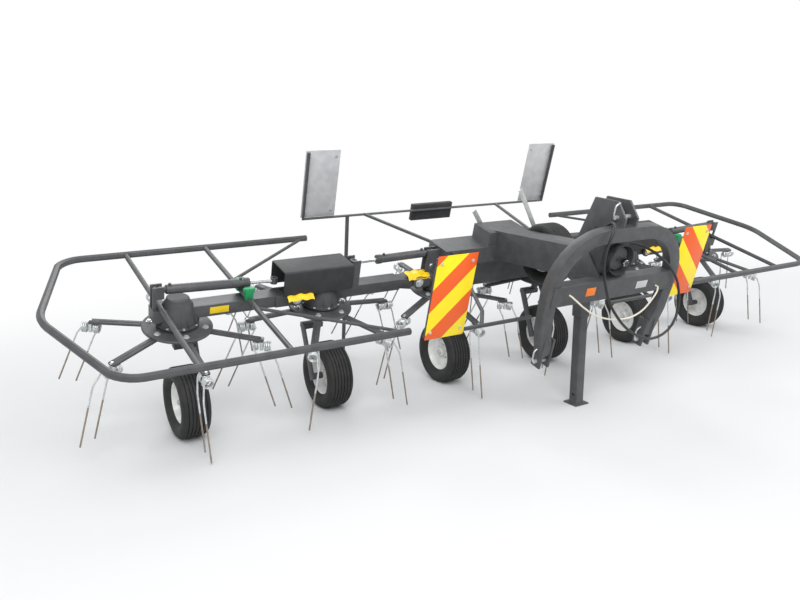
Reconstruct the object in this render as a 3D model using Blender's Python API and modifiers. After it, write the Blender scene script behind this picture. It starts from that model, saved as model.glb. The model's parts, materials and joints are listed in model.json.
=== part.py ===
"""Hay tedder: six driven rotors on a folding frame for a three-point linkage.

Units are metres and +Z is up.  X runs across the machine, -Y is its front (the
tractor's side) and +Y its rear.  The row of rotors, its beams, guards and the
headstock share one frame that is pitched forward by PITCH about the line of
the rotor centres; wheels, parking stand and drawbar stand square to the ground.
"""
import math

import bmesh
import bpy
from mathutils import Matrix, Vector

# --- Driving dimensions ------------------------------------------------------
PITCH = math.radians(15.0)
DISC_HEIGHT = 0.632
ROTOR_SPACING = 0.88
ROTOR_X = (ROTOR_SPACING / 2, ROTOR_SPACING * 3 / 2, ROTOR_SPACING * 5 / 2)
ORIGIN_SHIFT_Y = 0.2249
SEAT_GAP = 0.0003
RUN_GAP = 0.0006

# Tyre and rim
TYRE_RADIUS = 0.2025
TYRE_WIDTH = 0.165
RIM_RADIUS = 0.117
AXLE_Y = -0.077
AXLE_RADIUS = 0.0125
LEG_KNEE_DROP = 0.140
HUB_RADIUS = 0.030

# Rotor
DISH_RADIUS = 0.193
DISH_THICKNESS = 0.010
ARM_COUNT = 6
ARM_WIDTH = 0.044
ARM_THICKNESS = 0.016
ARM_ROOT_RADIUS = 0.110
COIL_CENTRE_RADIUS = 0.470
COIL_DROP = 0.085
COIL_RADIUS = 0.031
COIL_LENGTH = 0.042
COIL_PITCH = 0.064
WIRE_RADIUS = 0.005
ELBOW_OUT = 0.045
ELBOW_SIDE = 0.041
ELBOW_DROP = 0.070
FINGER_OUT = 0.107
FINGER_SIDE = 0.015
FINGER_DROP = 0.310
POST_RADIUS = 0.024
POST_BORE = POST_RADIUS + 0.0010

# Beams and gear housings
BEAM_HEIGHT = 0.070
BEAM_DEPTH = 0.100
BEAM_BOTTOM = 0.045
BEAM_TOP = BEAM_BOTTOM + BEAM_HEIGHT
BEAM_MID = BEAM_BOTTOM + BEAM_HEIGHT / 2
HOUSING_FOOT = 0.006
HOUSING_TOP = 0.165
HOUSING_FOOT_RADIUS = 0.118
HOUSING_TOP_RADIUS = 0.062
BELL_ROOM = 0.121
BEAM_END = ROTOR_X[2] + 0.145

# Fold hinges
INNER_HINGE_X = ROTOR_X[0] + 0.205
OUTER_HINGE_X = ROTOR_X[1] + 0.190
EYE_RADIUS = 0.040
EYE_LENGTH = 0.090
FORK_THICKNESS = 0.014
FORK_RADIUS = 0.044
PIN_RADIUS = 0.014
HINGE_ROOM = 0.075

# Guard hoop round each outer wing
HOOP_TUBE = 0.021
STRUT_TUBE = 0.015
HOOP_Z = BEAM_TOP + SEAT_GAP + STRUT_TUBE
HOOP_HALF_DEPTH = 0.670
HOOP_FREE_END = ROTOR_X[1] - 0.210
HOOP_CORNER_X = ROTOR_X[2] + 0.360
HOOP_APEX_X = ROTOR_X[2] + 0.690
STRUT_OUTER_X = ROTOR_X[2] + 0.106
STRUT_INNER_X = ROTOR_X[2] - 0.382

# Outer fold cylinder
OUTER_CYL_EYE_X = ROTOR_X[2] + 0.112
OUTER_CYL_Z = 0.220
OUTER_ROD_END_X = OUTER_HINGE_X + 0.130
OUTER_LUG_END = BEAM_END - 0.001
CYL_RADIUS = 0.026
ROD_RADIUS = 0.012
CYL_EYE_RADIUS = 0.022
CYL_EYE_LENGTH = 0.036
CYL_NECK = 0.045
LUG_THICKNESS = 0.010

# Inner fold cylinder
INNER_CYL_ANCHOR_X = ROTOR_X[0] + 0.120
INNER_CYL_ANCHOR_Z = 0.260
INNER_CYL_EYE_X = ROTOR_X[1] - 0.200
INNER_CYL_EYE_Z = 0.250
INNER_BARREL_LENGTH = 0.400
INNER_LUG_HALF_GAP = 0.036

# Cover over the inner wing's linkage
COVER_INNER_X = ROTOR_X[1] - 0.160
COVER_OUTER_X = ROTOR_X[1] + 0.300
COVER_HALF_WIDTH = 0.096
COVER_BOTTOM = BEAM_TOP + 0.012
COVER_TOP = 0.280
COVER_WALL = 0.005

# Centre frame
CENTRE_BOX_HALF = ROTOR_X[0] + 0.060
CENTRE_BOX_DEPTH = 0.200
CENTRE_BOX_BOTTOM = 0.190
CENTRE_BOX_END_TOP = 0.300
CENTRE_BOX_TOP = 0.395
CASING_HALF = ROTOR_X[0] - 0.135
CASING_DEPTH = 0.158
CASING_BOTTOM = 0.020
DRAWBAR_WIDTH = 0.200
DRAWBAR_BOTTOM = DISC_HEIGHT + 0.178
DRAWBAR_TOP = DRAWBAR_BOTTOM + 0.190
DRAWBAR_FRONT_Y = -0.950

# Headstock
HEAD_Y = -1.030
ARCH_WIDTH = 0.080
ARCH_DEPTH = 0.060
ARCH_FOOT = (0.420, 0.060)
ARCH_KNEE = (0.470, 0.240)
ARCH_SHOULDER = (0.485, 0.450)
ARCH_CROWN = (0.170, 0.770)
CROSS_BOTTOM = 0.380
CROSS_TOP = 0.500
CLEVIS_PLATE = 0.014
CLEVIS_GAP = 0.052
MAST_HALF_GAP = 0.040
MAST_PLATE = 0.014
CHEEK_THICKNESS = 0.012
GEARBOX_BACK_Y = -0.876

# Parking stand
STAND_SIZE = 0.060
STAND_Y = -0.880
STAND_TOP = 0.780
STAND_FOOT = 0.110
STAND_FOOT_THICKNESS = 0.008
SLEEVE_WALL = 0.006

# Marker panels, lamp bar and number-plate holder
PANEL_INNER_X = 0.840
PANEL_WIDTH = 0.260
PANEL_THICKNESS = 0.003
FRONT_PANEL_Y = -0.800
FRONT_PANEL_BOTTOM = 0.140
FRONT_PANEL_TOP = 0.640
REAR_PANEL_Y = 0.800
REAR_PANEL_BOTTOM = 0.225
REAR_PANEL_TOP = 0.700
FRAME_TUBE = 0.012
STAY_FOOT_X = 0.430
PAD_THICKNESS = 0.010

# Spare wheel
SPARE_GAP = 0.0003
SPARE_Y = -0.370
SPARE_Z = 0.850

# Cords, by their own points in the leaning frame
HOSE_RADIUS = 0.008
HOSE_POINTS = 42
HOSE_ROUTE = (
    (-0.078, -0.935, 0.710 + SEAT_GAP), (-0.078, -0.935, 0.748),
    (-0.090, -0.965, 0.800), (-0.118, -1.015, 0.836), (-0.143, -1.062, 0.838),
    (-0.172, -1.086, 0.806), (-0.190, -1.093, 0.765),
    (-0.205, -1.100, 0.705), (-0.207, -1.115, 0.615), (-0.175, -1.131, 0.515),
    (-0.124, -1.148, 0.410), (-0.055, -1.162, 0.325), (0.041, -1.179, 0.236),
    (0.170, -1.188, 0.162), (0.298, -1.187, 0.123), (0.438, -1.170, 0.136),
    (0.532, -1.140, 0.195), (0.568, -1.102, 0.297), (0.522, -1.084, 0.422),
    (0.425, -1.084, 0.522), (0.346, -1.047, 0.589), (0.250, -0.985, 0.642),
    (0.140, -0.935, 0.660), (DRAWBAR_WIDTH / 2 + SEAT_GAP, -0.935, 0.660),
)
ROPE_RADIUS = 0.005
ROPE_POINTS = 32
ROPE_SEAT_Y = HEAD_Y - 0.035 - SEAT_GAP
ROPE_ROUTE = (
    (-0.364, ROPE_SEAT_Y, 0.445), (-0.364, -1.088, 0.445), (-0.325, -1.105, 0.414),
    (-0.275, -1.112, 0.378), (-0.177, -1.118, 0.320), (-0.049, -1.122, 0.276),
    (0.072, -1.120, 0.258), (0.160, -1.117, 0.262), (0.239, -1.112, 0.291),
    (0.297, -1.108, 0.352), (0.332, -1.100, 0.398), (0.345, -1.086, 0.416),
    (0.345, ROPE_SEAT_Y, 0.416),
)

TYRE_SIDES = 24
RIM_SIDES = 16
BELL_SIDES = 16
DISH_SIDES = 16
HINGE_SIDES = 12
ROD_SIDES = 8

# A tyre's polygon stands on one of its flats
HUB_Z = TYRE_RADIUS * math.cos(math.pi / TYRE_SIDES)


# name, sRGB-like colour, roughness, metallic
FINISHES = {
    "anthracite": ((0.070, 0.070, 0.072), 0.45, 0.1),
    "rubber": ((0.012, 0.012, 0.012), 0.85, 0.0),
    "white_paint": ((0.80, 0.80, 0.78), 0.40, 0.0),
    "yellow": ((0.95, 0.75, 0.00), 0.50, 0.0),
    "plastic_black": ((0.035, 0.035, 0.035), 0.60, 0.0),
    "panel_grey": ((0.25, 0.25, 0.26), 0.50, 0.3),
    "rope_cream": ((0.75, 0.73, 0.68), 0.90, 0.0),
}


# --- Scene helpers -----------------------------------------------------------
def clear_scene():
    for obj in list(bpy.data.objects):
        bpy.data.objects.remove(obj, do_unlink=True)


def new_collection(name):
    collection = bpy.data.collections.new(name)
    bpy.context.scene.collection.children.link(collection)
    return collection


def make_materials():
    made = {}
    for name, (colour, roughness, metallic) in FINISHES.items():
        material = bpy.data.materials.new(name)
        material.use_nodes = True
        shader = material.node_tree.nodes["Principled BSDF"]
        shader.inputs["Base Color"].default_value = (*colour, 1.0)
        shader.inputs["Roughness"].default_value = roughness
        shader.inputs["Metallic"].default_value = metallic
        made[name] = material
    return made


def temporary(data):
    obj = bpy.data.objects.new("working", data)
    bpy.context.scene.collection.objects.link(obj)
    return obj


def baked(obj):
    """The object's evaluated shape as a welded mesh; the object is removed."""
    bpy.context.view_layer.update()
    graph = bpy.context.evaluated_depsgraph_get()
    mesh = bpy.data.meshes.new_from_object(obj.evaluated_get(graph))
    mesh.transform(obj.matrix_world)
    bpy.data.objects.remove(obj, do_unlink=True)
    shape = bmesh.new()
    shape.from_mesh(mesh)
    bmesh.ops.remove_doubles(shape, verts=shape.verts, dist=1e-5)
    bmesh.ops.recalc_face_normals(shape, faces=shape.faces)
    shape.to_mesh(mesh)
    shape.free()
    mesh.materials.clear()
    return mesh


# --- Solid shapes, each returned as a mesh -----------------------------------
def block(size, centre, turn=None):
    shape = bmesh.new()
    bmesh.ops.create_cube(shape, size=1.0)
    matrix = Matrix.Translation(centre) @ (turn.to_4x4() if turn else Matrix())
    bmesh.ops.transform(shape, matrix=matrix @ Matrix.Diagonal((*size, 1.0)), verts=shape.verts)
    mesh = bpy.data.meshes.new("block")
    shape.to_mesh(mesh)
    shape.free()
    return mesh


def rod(start, end, radius, sides=ROD_SIDES, end_radius=None):
    start, end = Vector(start), Vector(end)
    run = end - start
    shape = bmesh.new()
    far_radius = radius if end_radius is None else end_radius
    bmesh.ops.create_cone(
        shape, cap_ends=True, segments=sides, radius1=radius, radius2=far_radius, depth=run.length
    )
    turn = Vector((0, 0, 1)).rotation_difference(run).to_matrix().to_4x4()
    matrix = Matrix.Translation((start + end) / 2) @ turn
    bmesh.ops.transform(shape, matrix=matrix, verts=shape.verts)
    mesh = bpy.data.meshes.new("rod")
    shape.to_mesh(mesh)
    shape.free()
    return mesh


def bar(start, end, width, thickness, up=(0, 0, 1)):
    """A rectangular bar between two points; thickness is measured towards up."""
    start, end = Vector(start), Vector(end)
    along = (end - start).normalized()
    side = Vector(up).cross(along).normalized()
    rise = along.cross(side)
    turn = Matrix((along, side, rise)).transposed()
    return block(((end - start).length, width, thickness), (start + end) / 2, turn)


def tube(points, radius, sides_level=2):
    """A round tube along straight runs between the points, with filled ends."""
    curve = bpy.data.curves.new("tube", "CURVE")
    curve.dimensions = "3D"
    curve.bevel_depth = radius
    curve.bevel_resolution = sides_level
    curve.use_fill_caps = True
    spline = curve.splines.new("POLY")
    spline.points.add(len(points) - 1)
    for knot, point in zip(spline.points, points):
        knot.co = (*point, 1.0)
    return baked(temporary(curve))


def smooth_route(knots, count):
    """Points on a smooth curve through the knots, evenly spaced between two straight ends."""
    knots = [Vector(knot) for knot in knots]
    fine = []
    for p0, p1, p2, p3 in zip(knots, knots[1:], knots[2:], knots[3:]):
        for t in (step / 16 for step in range(16)):
            bend = (p0 * 2 - p1 * 5 + p2 * 4 - p3) * t * t + (p1 * 3 - p0 - p2 * 3 + p3) * t ** 3
            fine.append((p1 * 2 + (p2 - p0) * t + bend) / 2)
    fine.append(knots[-2])
    walked = [0.0]
    for before, after in zip(fine, fine[1:]):
        walked.append(walked[-1] + (after - before).length)
    points, at_step = [knots[0]], 0
    for i in range(count - 2):
        goal = walked[-1] * i / (count - 3)
        while at_step < len(fine) - 2 and walked[at_step + 1] < goal:
            at_step += 1
        share = (goal - walked[at_step]) / (walked[at_step + 1] - walked[at_step])
        points.append(fine[at_step].lerp(fine[at_step + 1], share))
    return points + [knots[-1]]


def plate(outline, thickness, place=Matrix()):
    """A flat plate from an outline in X and Y, its mid-plane at Z = 0, then placed."""
    curve = bpy.data.curves.new("plate", "CURVE")
    curve.dimensions = "2D"
    curve.fill_mode = "BOTH"
    curve.extrude = thickness / 2
    spline = curve.splines.new("POLY")
    spline.points.add(len(outline) - 1)
    for knot, point in zip(spline.points, outline):
        knot.co = (point[0], point[1], 0.0, 1.0)
    spline.use_cyclic_u = True
    mesh = baked(temporary(curve))
    mesh.transform(place)
    return mesh


def turned(profile, sides):
    """A profile of (radius, height) points, outer side top to bottom, turned about Z."""
    mesh = bpy.data.meshes.new("profile")
    points = [(radius, 0.0, height) for radius, height in profile]
    mesh.from_pydata(points, [(i, i + 1) for i in range(len(points) - 1)], [])
    obj = temporary(mesh)
    screw = obj.modifiers.new("Screw", "SCREW")
    screw.steps = sides
    screw.render_steps = sides
    screw.use_merge_vertices = True
    screw.merge_threshold = 0.00001
    return baked(obj)


def arc(centre, radius, start_deg, end_deg, steps):
    """Points on a circle in a plane, from one angle to another."""
    return [
        (
            centre[0] + radius * math.cos(math.radians(start_deg + (end_deg - start_deg) * i / steps)),
            centre[1] + radius * math.sin(math.radians(start_deg + (end_deg - start_deg) * i / steps)),
        )
        for i in range(steps + 1)
    ]


def placed(mesh, matrix):
    copy = mesh.copy()
    copy.transform(matrix)
    if matrix.determinant() < 0:
        copy.flip_normals()
    return copy


def gathered(meshes):
    """Several meshes in one, not yet united."""
    shape = bmesh.new()
    for mesh in meshes:
        shape.from_mesh(mesh)
    mesh = bpy.data.meshes.new("gathered")
    shape.to_mesh(mesh)
    shape.free()
    return mesh


def boolean(mesh, operand, operation):
    obj = temporary(mesh)
    helper = temporary(operand)
    modifier = obj.modifiers.new(operation.title(), "BOOLEAN")
    modifier.operation = operation
    modifier.object = helper
    modifier.use_self = operation == "UNION"
    result = baked(obj)
    bpy.data.objects.remove(helper, do_unlink=True)
    return result


def united(base, *others):
    return boolean(base, gathered(others), "UNION")


def cut(base, *cutters):
    return boolean(base, gathered(cutters), "DIFFERENCE")


# --- Placing nodes -----------------------------------------------------------
class Builder:
    """Keeps the collections, materials and parent empties that each node needs."""

    def __init__(self):
        self.parts = new_collection("hay_tedder")
        self.materials = make_materials()
        self.ground = self.empty("ground_frame", (0, ORIGIN_SHIFT_Y, 0), 0.0)
        self.pitched = self.empty("pitched_frame", (0, ORIGIN_SHIFT_Y, DISC_HEIGHT), PITCH)

    def empty(self, name, location, pitch):
        obj = bpy.data.objects.new(name, None)
        obj.location = location
        obj.rotation_euler = (pitch, 0, 0)
        self.parts.objects.link(obj)
        return obj

    def node(self, name, mesh, finish, origin=(0, 0, 0), parent=None, turn=0.0):
        """Adds a mesh modelled about its origin as a named node."""
        own = mesh.copy()
        own.name = name
        own.materials.clear()
        own.materials.append(self.materials[finish])
        own.shade_smooth()
        own.set_sharp_from_angle(angle=math.radians(35))
        obj = bpy.data.objects.new(name, own)
        obj.parent = parent or self.pitched
        obj.location = origin
        obj.rotation_euler = (0, 0, turn)
        self.parts.objects.link(obj)
        return obj


SIDES = (("left", -1), ("right", 1))
ALONG_X = Matrix.Rotation(math.radians(90), 4, "Y")


def at(x=0.0, y=0.0, z=0.0):
    return Matrix.Translation((x, y, z))


def upright_at(x):
    """Stands a flat outline up across X: its X runs along Y and its Y along Z."""
    return Matrix(((0, 0, 1, x), (1, 0, 0, 0), (0, 1, 0, 0), (0, 0, 0, 1)))


def mirrored_x():
    return Matrix.Diagonal((-1, 1, 1, 1))


# --- Wheels ------------------------------------------------------------------
def tyre_mesh():
    half = TYRE_WIDTH / 2
    crown = TYRE_RADIUS
    bead = RIM_RADIUS / math.cos(math.pi / TYRE_SIDES) + SEAT_GAP
    profile = [
        (bead, half * 0.62),
        (crown * 0.80, half),
        (crown * 0.93, half * 0.93),
        (crown, half * 0.66),
        (crown, -half * 0.66),
        (crown * 0.93, -half * 0.93),
        (crown * 0.80, -half),
        (bead, -half * 0.62),
        (bead, half * 0.62),
    ]
    half_step = Matrix.Rotation(math.pi / TYRE_SIDES, 4, "Z")
    return placed(turned(profile, TYRE_SIDES), ALONG_X @ half_step)


def rim_mesh():
    """A dished disc wheel with a bored hub, turned about X; the dish faces +X."""
    half = TYRE_WIDTH / 2 * 0.62
    bore = AXLE_RADIUS + RUN_GAP
    wall = 0.005
    profile = [
        (bore, 0.040),
        (HUB_RADIUS, 0.040),
        (HUB_RADIUS, 0.008),
        (RIM_RADIUS - wall, 0.014),
        (RIM_RADIUS, half),
        (RIM_RADIUS, -half),
        (RIM_RADIUS - wall, 0.004),
        (HUB_RADIUS, -0.004),
        (HUB_RADIUS, -0.040),
        (bore, -0.040),
        (bore, 0.040),
    ]
    half_step = Matrix.Rotation(math.pi / RIM_SIDES, 4, "Z")
    return placed(turned(profile, RIM_SIDES), ALONG_X @ half_step)


def leg_mesh(side):
    """Post through the rotor, yoke, bar beside the wheel and stub axle; side is +1 or -1.

    Modelled in the pitched frame about the rotor's centre.
    """
    bar_x = side * (TYRE_WIDTH / 2 + 0.022)
    axle = to_pitched((0, AXLE_Y, HUB_Z))
    post = rod((0, 0, HOUSING_FOOT - SEAT_GAP), (0, 0, -LEG_KNEE_DROP - 0.010), POST_RADIUS, 12)
    yoke = bar((-side * 0.022, 0, -LEG_KNEE_DROP), (bar_x + side * 0.006, 0, -LEG_KNEE_DROP), 0.048, 0.030)
    drop = bar(
        (bar_x, 0.006, -LEG_KNEE_DROP + 0.012),
        (bar_x, axle.y - 0.010, axle.z - 0.018),
        0.012, 0.046, up=(0, 1, 0),
    )
    stub = rod((bar_x + side * 0.004, axle.y, axle.z), (-side * 0.038, axle.y, axle.z), AXLE_RADIUS, 12)
    collar = rod(
        (bar_x, axle.y, axle.z), (side * 0.0405, axle.y, axle.z), AXLE_RADIUS + 0.008, 12
    )
    return united(post, yoke, drop, stub, collar)


# Wheel legs stand on this side of each wheel: towards the centre or away from it
LEG_TOWARDS_CENTRE = {0: True, 1: False, 2: True}


def add_wheels(builder):
    tyre = tyre_mesh()
    rim = rim_mesh()
    legs = {side: leg_mesh(side) for side in (-1, 1)}
    for side_name, side in SIDES:
        for index, place in enumerate(("inner", "middle", "outer")):
            x = side * ROTOR_X[index]
            leg_side = -side if LEG_TOWARDS_CENTRE[index] else side
            label = f"{side_name}_{place}"
            hub = (x, AXLE_Y, HUB_Z)
            turn = math.pi if leg_side > 0 else 0.0
            builder.node(f"{label}_tyre", tyre, "rubber", hub, builder.ground)
            builder.node(f"{label}_rim", rim, "white_paint", hub, builder.ground, turn)
            builder.node(f"{label}_wheel_leg", legs[leg_side], "anthracite", (x, 0, 0))


# --- Rotors ------------------------------------------------------------------
def dish_mesh():
    profile = [
        (POST_BORE, 0.000),
        (DISH_RADIUS * 0.90, -0.004),
        (DISH_RADIUS, -0.012),
        (DISH_RADIUS, -0.012 - DISH_THICKNESS),
        (0.060, -0.026),
        (0.055, -0.052),
        (POST_BORE, -0.052),
        (POST_BORE, 0.000),
    ]
    return turned(profile, DISH_SIDES)


def tine_arm_mesh(hand):
    """One arm along +X with its double coil and two fingers; hand is +1 or -1."""
    root = (ARM_ROOT_RADIUS, 0, -0.024)
    inner = COIL_CENTRE_RADIUS - COIL_PITCH / 2
    outer = COIL_CENTRE_RADIUS + COIL_PITCH / 2
    arm_z = -COIL_DROP + COIL_RADIUS + ARM_THICKNESS / 2 - 0.002
    arm = bar(root, (COIL_CENTRE_RADIUS + 0.006, 0, arm_z), ARM_WIDTH, ARM_THICKNESS)
    half = COIL_LENGTH / 2
    pieces = [rod((inner - half, 0, -COIL_DROP), (outer + half, 0, -COIL_DROP), COIL_RADIUS, 8)]
    for start in (inner - COIL_LENGTH / 2 + WIRE_RADIUS, outer + COIL_LENGTH / 2 - WIRE_RADIUS):
        knots = [Vector((start, -hand * (COIL_RADIUS - WIRE_RADIUS), -COIL_DROP))]
        knots.append(Vector((start + ELBOW_OUT, -hand * ELBOW_SIDE, -COIL_DROP - ELBOW_DROP)))
        knots.append(knots[-1] + Vector((FINGER_OUT, hand * FINGER_SIDE, -FINGER_DROP)))
        pieces.append(tube(knots, WIRE_RADIUS, 0))
    return united(arm, *pieces)


def rotor_mesh(hand):
    arm = tine_arm_mesh(hand)
    arms = [
        placed(arm, Matrix.Rotation(math.tau * i / ARM_COUNT, 4, "Z")) for i in range(ARM_COUNT)
    ]
    return united(dish_mesh(), *arms)


def housing_mesh():
    """Bell-shaped gear housing with a tunnel that the beam runs through."""
    profile = [
        (0.0, HOUSING_TOP),
        (HOUSING_TOP_RADIUS, HOUSING_TOP),
        (HOUSING_TOP_RADIUS + 0.014, HOUSING_TOP - 0.012),
        (HOUSING_FOOT_RADIUS * 0.86, BEAM_MID),
        (HOUSING_FOOT_RADIUS, HOUSING_FOOT + 0.012),
        (HOUSING_FOOT_RADIUS, HOUSING_FOOT),
        (0.0, HOUSING_FOOT),
    ]
    gap = 2 * SEAT_GAP
    tunnel = block((0.5, BEAM_DEPTH + gap, BEAM_HEIGHT + gap), (0, 0, BEAM_MID))
    return cut(turned(profile, BELL_SIDES), tunnel)


def add_rotors(builder):
    housing = housing_mesh()
    rotors = {hand: rotor_mesh(hand) for hand in (1, -1)}
    order = ((-1, 2), (-1, 1), (-1, 0), (1, 0), (1, 1), (1, 2))
    hand = 1
    for number, (side, index) in enumerate(order):
        place = ("inner", "middle", "outer")[index]
        side_name = "left" if side < 0 else "right"
        x = side * ROTOR_X[index]
        turn = math.radians(30.0 if number % 2 == 0 else 0.0)
        builder.node(f"{side_name}_{place}_rotor", rotors[hand], "anthracite", (x, 0, 0), turn=turn)
        builder.node(f"{side_name}_{place}_gear_housing", housing, "anthracite", (x, 0, 0))
        hand = -hand


# --- Beams and hinges --------------------------------------------------------
def hinge_eye(x):
    return rod((x, -EYE_LENGTH / 2, BEAM_MID), (x, EYE_LENGTH / 2, BEAM_MID), EYE_RADIUS, HINGE_SIDES)


def hinge_bore(x):
    return rod((x, -EYE_LENGTH, BEAM_MID), (x, EYE_LENGTH, BEAM_MID), PIN_RADIUS + RUN_GAP, HINGE_SIDES)


def hinge_fork(x, towards, reach):
    """Two cheeks and a pin about the hinge, reaching towards +X or -X to the beam's end."""
    pieces = []
    for side in (-1, 1):
        y = side * (EYE_LENGTH / 2 + RUN_GAP + FORK_THICKNESS / 2)
        half = FORK_THICKNESS / 2
        pieces.append(rod((x, y - half, BEAM_MID), (x, y + half, BEAM_MID), FORK_RADIUS, HINGE_SIDES))
        pieces.append(
            block((reach, FORK_THICKNESS, BEAM_HEIGHT), (x + towards * reach / 2, y, BEAM_MID))
        )
    length = EYE_LENGTH / 2 + FORK_THICKNESS + 0.008
    pieces.append(rod((x, -length, BEAM_MID), (x, length, BEAM_MID), PIN_RADIUS, HINGE_SIDES))
    return pieces


def beam_box(start, end):
    return block(((end - start), BEAM_DEPTH, BEAM_HEIGHT), ((start + end) / 2, 0, BEAM_MID))


def fork_lugs(start, end, bottom, top, half_gap):
    """Two upright plates from start to end along X, half_gap each side of Y = 0."""
    pieces = []
    for side in (-1, 1):
        y = side * (half_gap + LUG_THICKNESS / 2)
        size = (abs(end - start), LUG_THICKNESS, top - bottom)
        pieces.append(block(size, ((start + end) / 2, y, (top + bottom) / 2)))
    return pieces


def outer_beam_mesh():
    """Outer wing's beam for the +X side, about the outer hinge's line."""
    start = OUTER_HINGE_X + HINGE_ROOM
    half_gap = CYL_EYE_LENGTH / 2 + SEAT_GAP
    top = OUTER_CYL_Z + 0.026
    lugs = fork_lugs(OUTER_CYL_EYE_X - 0.030, OUTER_LUG_END, HOUSING_TOP + 0.010, top, half_gap)
    lugs += fork_lugs(OUTER_LUG_END - 0.020, OUTER_LUG_END, BEAM_TOP - 0.004, top, half_gap)
    return united(beam_box(start, BEAM_END), *hinge_fork(OUTER_HINGE_X, 1, HINGE_ROOM + 0.060), *lugs)


def inner_beam_mesh():
    """Inner wing's beam for the +X side: eyes at both ends, lugs for the fold cylinder."""
    pieces = [hinge_eye(INNER_HINGE_X), hinge_eye(OUTER_HINGE_X)]
    pieces += fork_lugs(
        INNER_CYL_EYE_X - 0.028, INNER_CYL_EYE_X + 0.028, BEAM_TOP - 0.004,
        INNER_CYL_EYE_Z + 0.028, INNER_LUG_HALF_GAP,
    )
    slim = block(
        (OUTER_HINGE_X - INNER_HINGE_X, EYE_LENGTH - 0.002, BEAM_HEIGHT - 0.012),
        ((OUTER_HINGE_X + INNER_HINGE_X) / 2, 0, BEAM_MID),
    )
    middle = beam_box(INNER_HINGE_X + HINGE_ROOM + 0.066, OUTER_HINGE_X - HINGE_ROOM - 0.010)
    body = united(middle, slim, *pieces)
    return cut(body, hinge_bore(INNER_HINGE_X), hinge_bore(OUTER_HINGE_X))


def add_beams(builder):
    outer = outer_beam_mesh()
    inner = inner_beam_mesh()
    for side_name, side in SIDES:
        for label, mesh, hinge_x in (
            ("outer_beam", outer, OUTER_HINGE_X),
            ("inner_beam", inner, INNER_HINGE_X),
        ):
            shape = placed(mesh, mirrored_x()) if side < 0 else mesh
            origin = (side * hinge_x, 0, BEAM_MID)
            shape = placed(shape, at(-origin[0], 0, -BEAM_MID))
            builder.node(f"{side_name}_{label}", shape, "anthracite", origin)


# --- Guard hoops -------------------------------------------------------------
def hoop_points():
    """Half of the hoop's plan from its rear free end to its apex, then mirrored in Y."""
    bend = arc((HOOP_CORNER_X, HOOP_HALF_DEPTH - 0.170), 0.170, 90, 32, 5)
    tip = arc((HOOP_APEX_X - 0.300, 0), 0.300, 16, 0, 2)
    rear = [(HOOP_FREE_END, HOOP_HALF_DEPTH)] + bend + tip
    front = [(x, -y) for x, y in reversed(rear[:-1])]
    return [(x, y, HOOP_Z) for x, y in rear + front]


def hoop_mesh():
    rails = tube(hoop_points(), HOOP_TUBE)
    depth = HOOP_HALF_DEPTH
    struts = [
        tube([(x, -depth, HOOP_Z), (x, depth, HOOP_Z)], STRUT_TUBE)
        for x in (STRUT_OUTER_X, STRUT_INNER_X)
    ]
    braces = [
        tube([(STRUT_INNER_X, side * 0.180, HOOP_Z), (HOOP_FREE_END + 0.030, side * depth, HOOP_Z)], 0.010)
        for side in (-1, 1)
    ]
    return united(rails, *struts, *braces)


def add_hoops(builder):
    hoop = hoop_mesh()
    for side_name, side in SIDES:
        shape = placed(hoop, mirrored_x()) if side < 0 else hoop
        origin = (side * OUTER_HINGE_X, 0, BEAM_MID)
        shape = placed(shape, at(-origin[0], 0, -BEAM_MID))
        builder.node(f"{side_name}_guard_hoop", shape, "anthracite", origin)


# --- Fold cylinders ----------------------------------------------------------
def cylinder_mesh(start, end, barrel_length):
    """A cylinder along X from its barrel's eye to its rod's eye, at Y = 0."""
    start, end = Vector(start), Vector(end)
    along = (end - start).normalized()
    half = CYL_EYE_LENGTH / 2
    pieces = [
        rod((point.x, -half, point.z), (point.x, half, point.z), CYL_EYE_RADIUS, 12)
        for point in (start, end)
    ]
    neck = rod(start, start + along * (CYL_NECK + 0.010), CYL_EYE_LENGTH / 2 - 0.002, 8)
    barrel = rod(start + along * CYL_NECK, start + along * barrel_length, CYL_RADIUS, 12)
    gland = rod(
        start + along * (barrel_length - 0.030), start + along * barrel_length, CYL_RADIUS + 0.004, 12
    )
    piston_rod = rod(start + along * 0.030, end, ROD_RADIUS, 8)
    return united(barrel, gland, neck, piston_rod, *pieces)


def add_cylinders(builder):
    for side_name, side in SIDES:
        outer = cylinder_mesh(
            (side * OUTER_CYL_EYE_X, 0, OUTER_CYL_Z), (side * OUTER_ROD_END_X, 0, 0.195), 0.520
        )
        builder.node(f"{side_name}_outer_cylinder", outer, "anthracite")
        anchor = Vector((side * INNER_CYL_ANCHOR_X, 0, INNER_CYL_ANCHOR_Z))
        eye = Vector((side * INNER_CYL_EYE_X, 0, INNER_CYL_EYE_Z))
        inner = cylinder_mesh((0, 0, 0), eye - anchor, INNER_BARREL_LENGTH)
        builder.node(f"{side_name}_inner_cylinder", inner, "anthracite", anchor)


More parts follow.
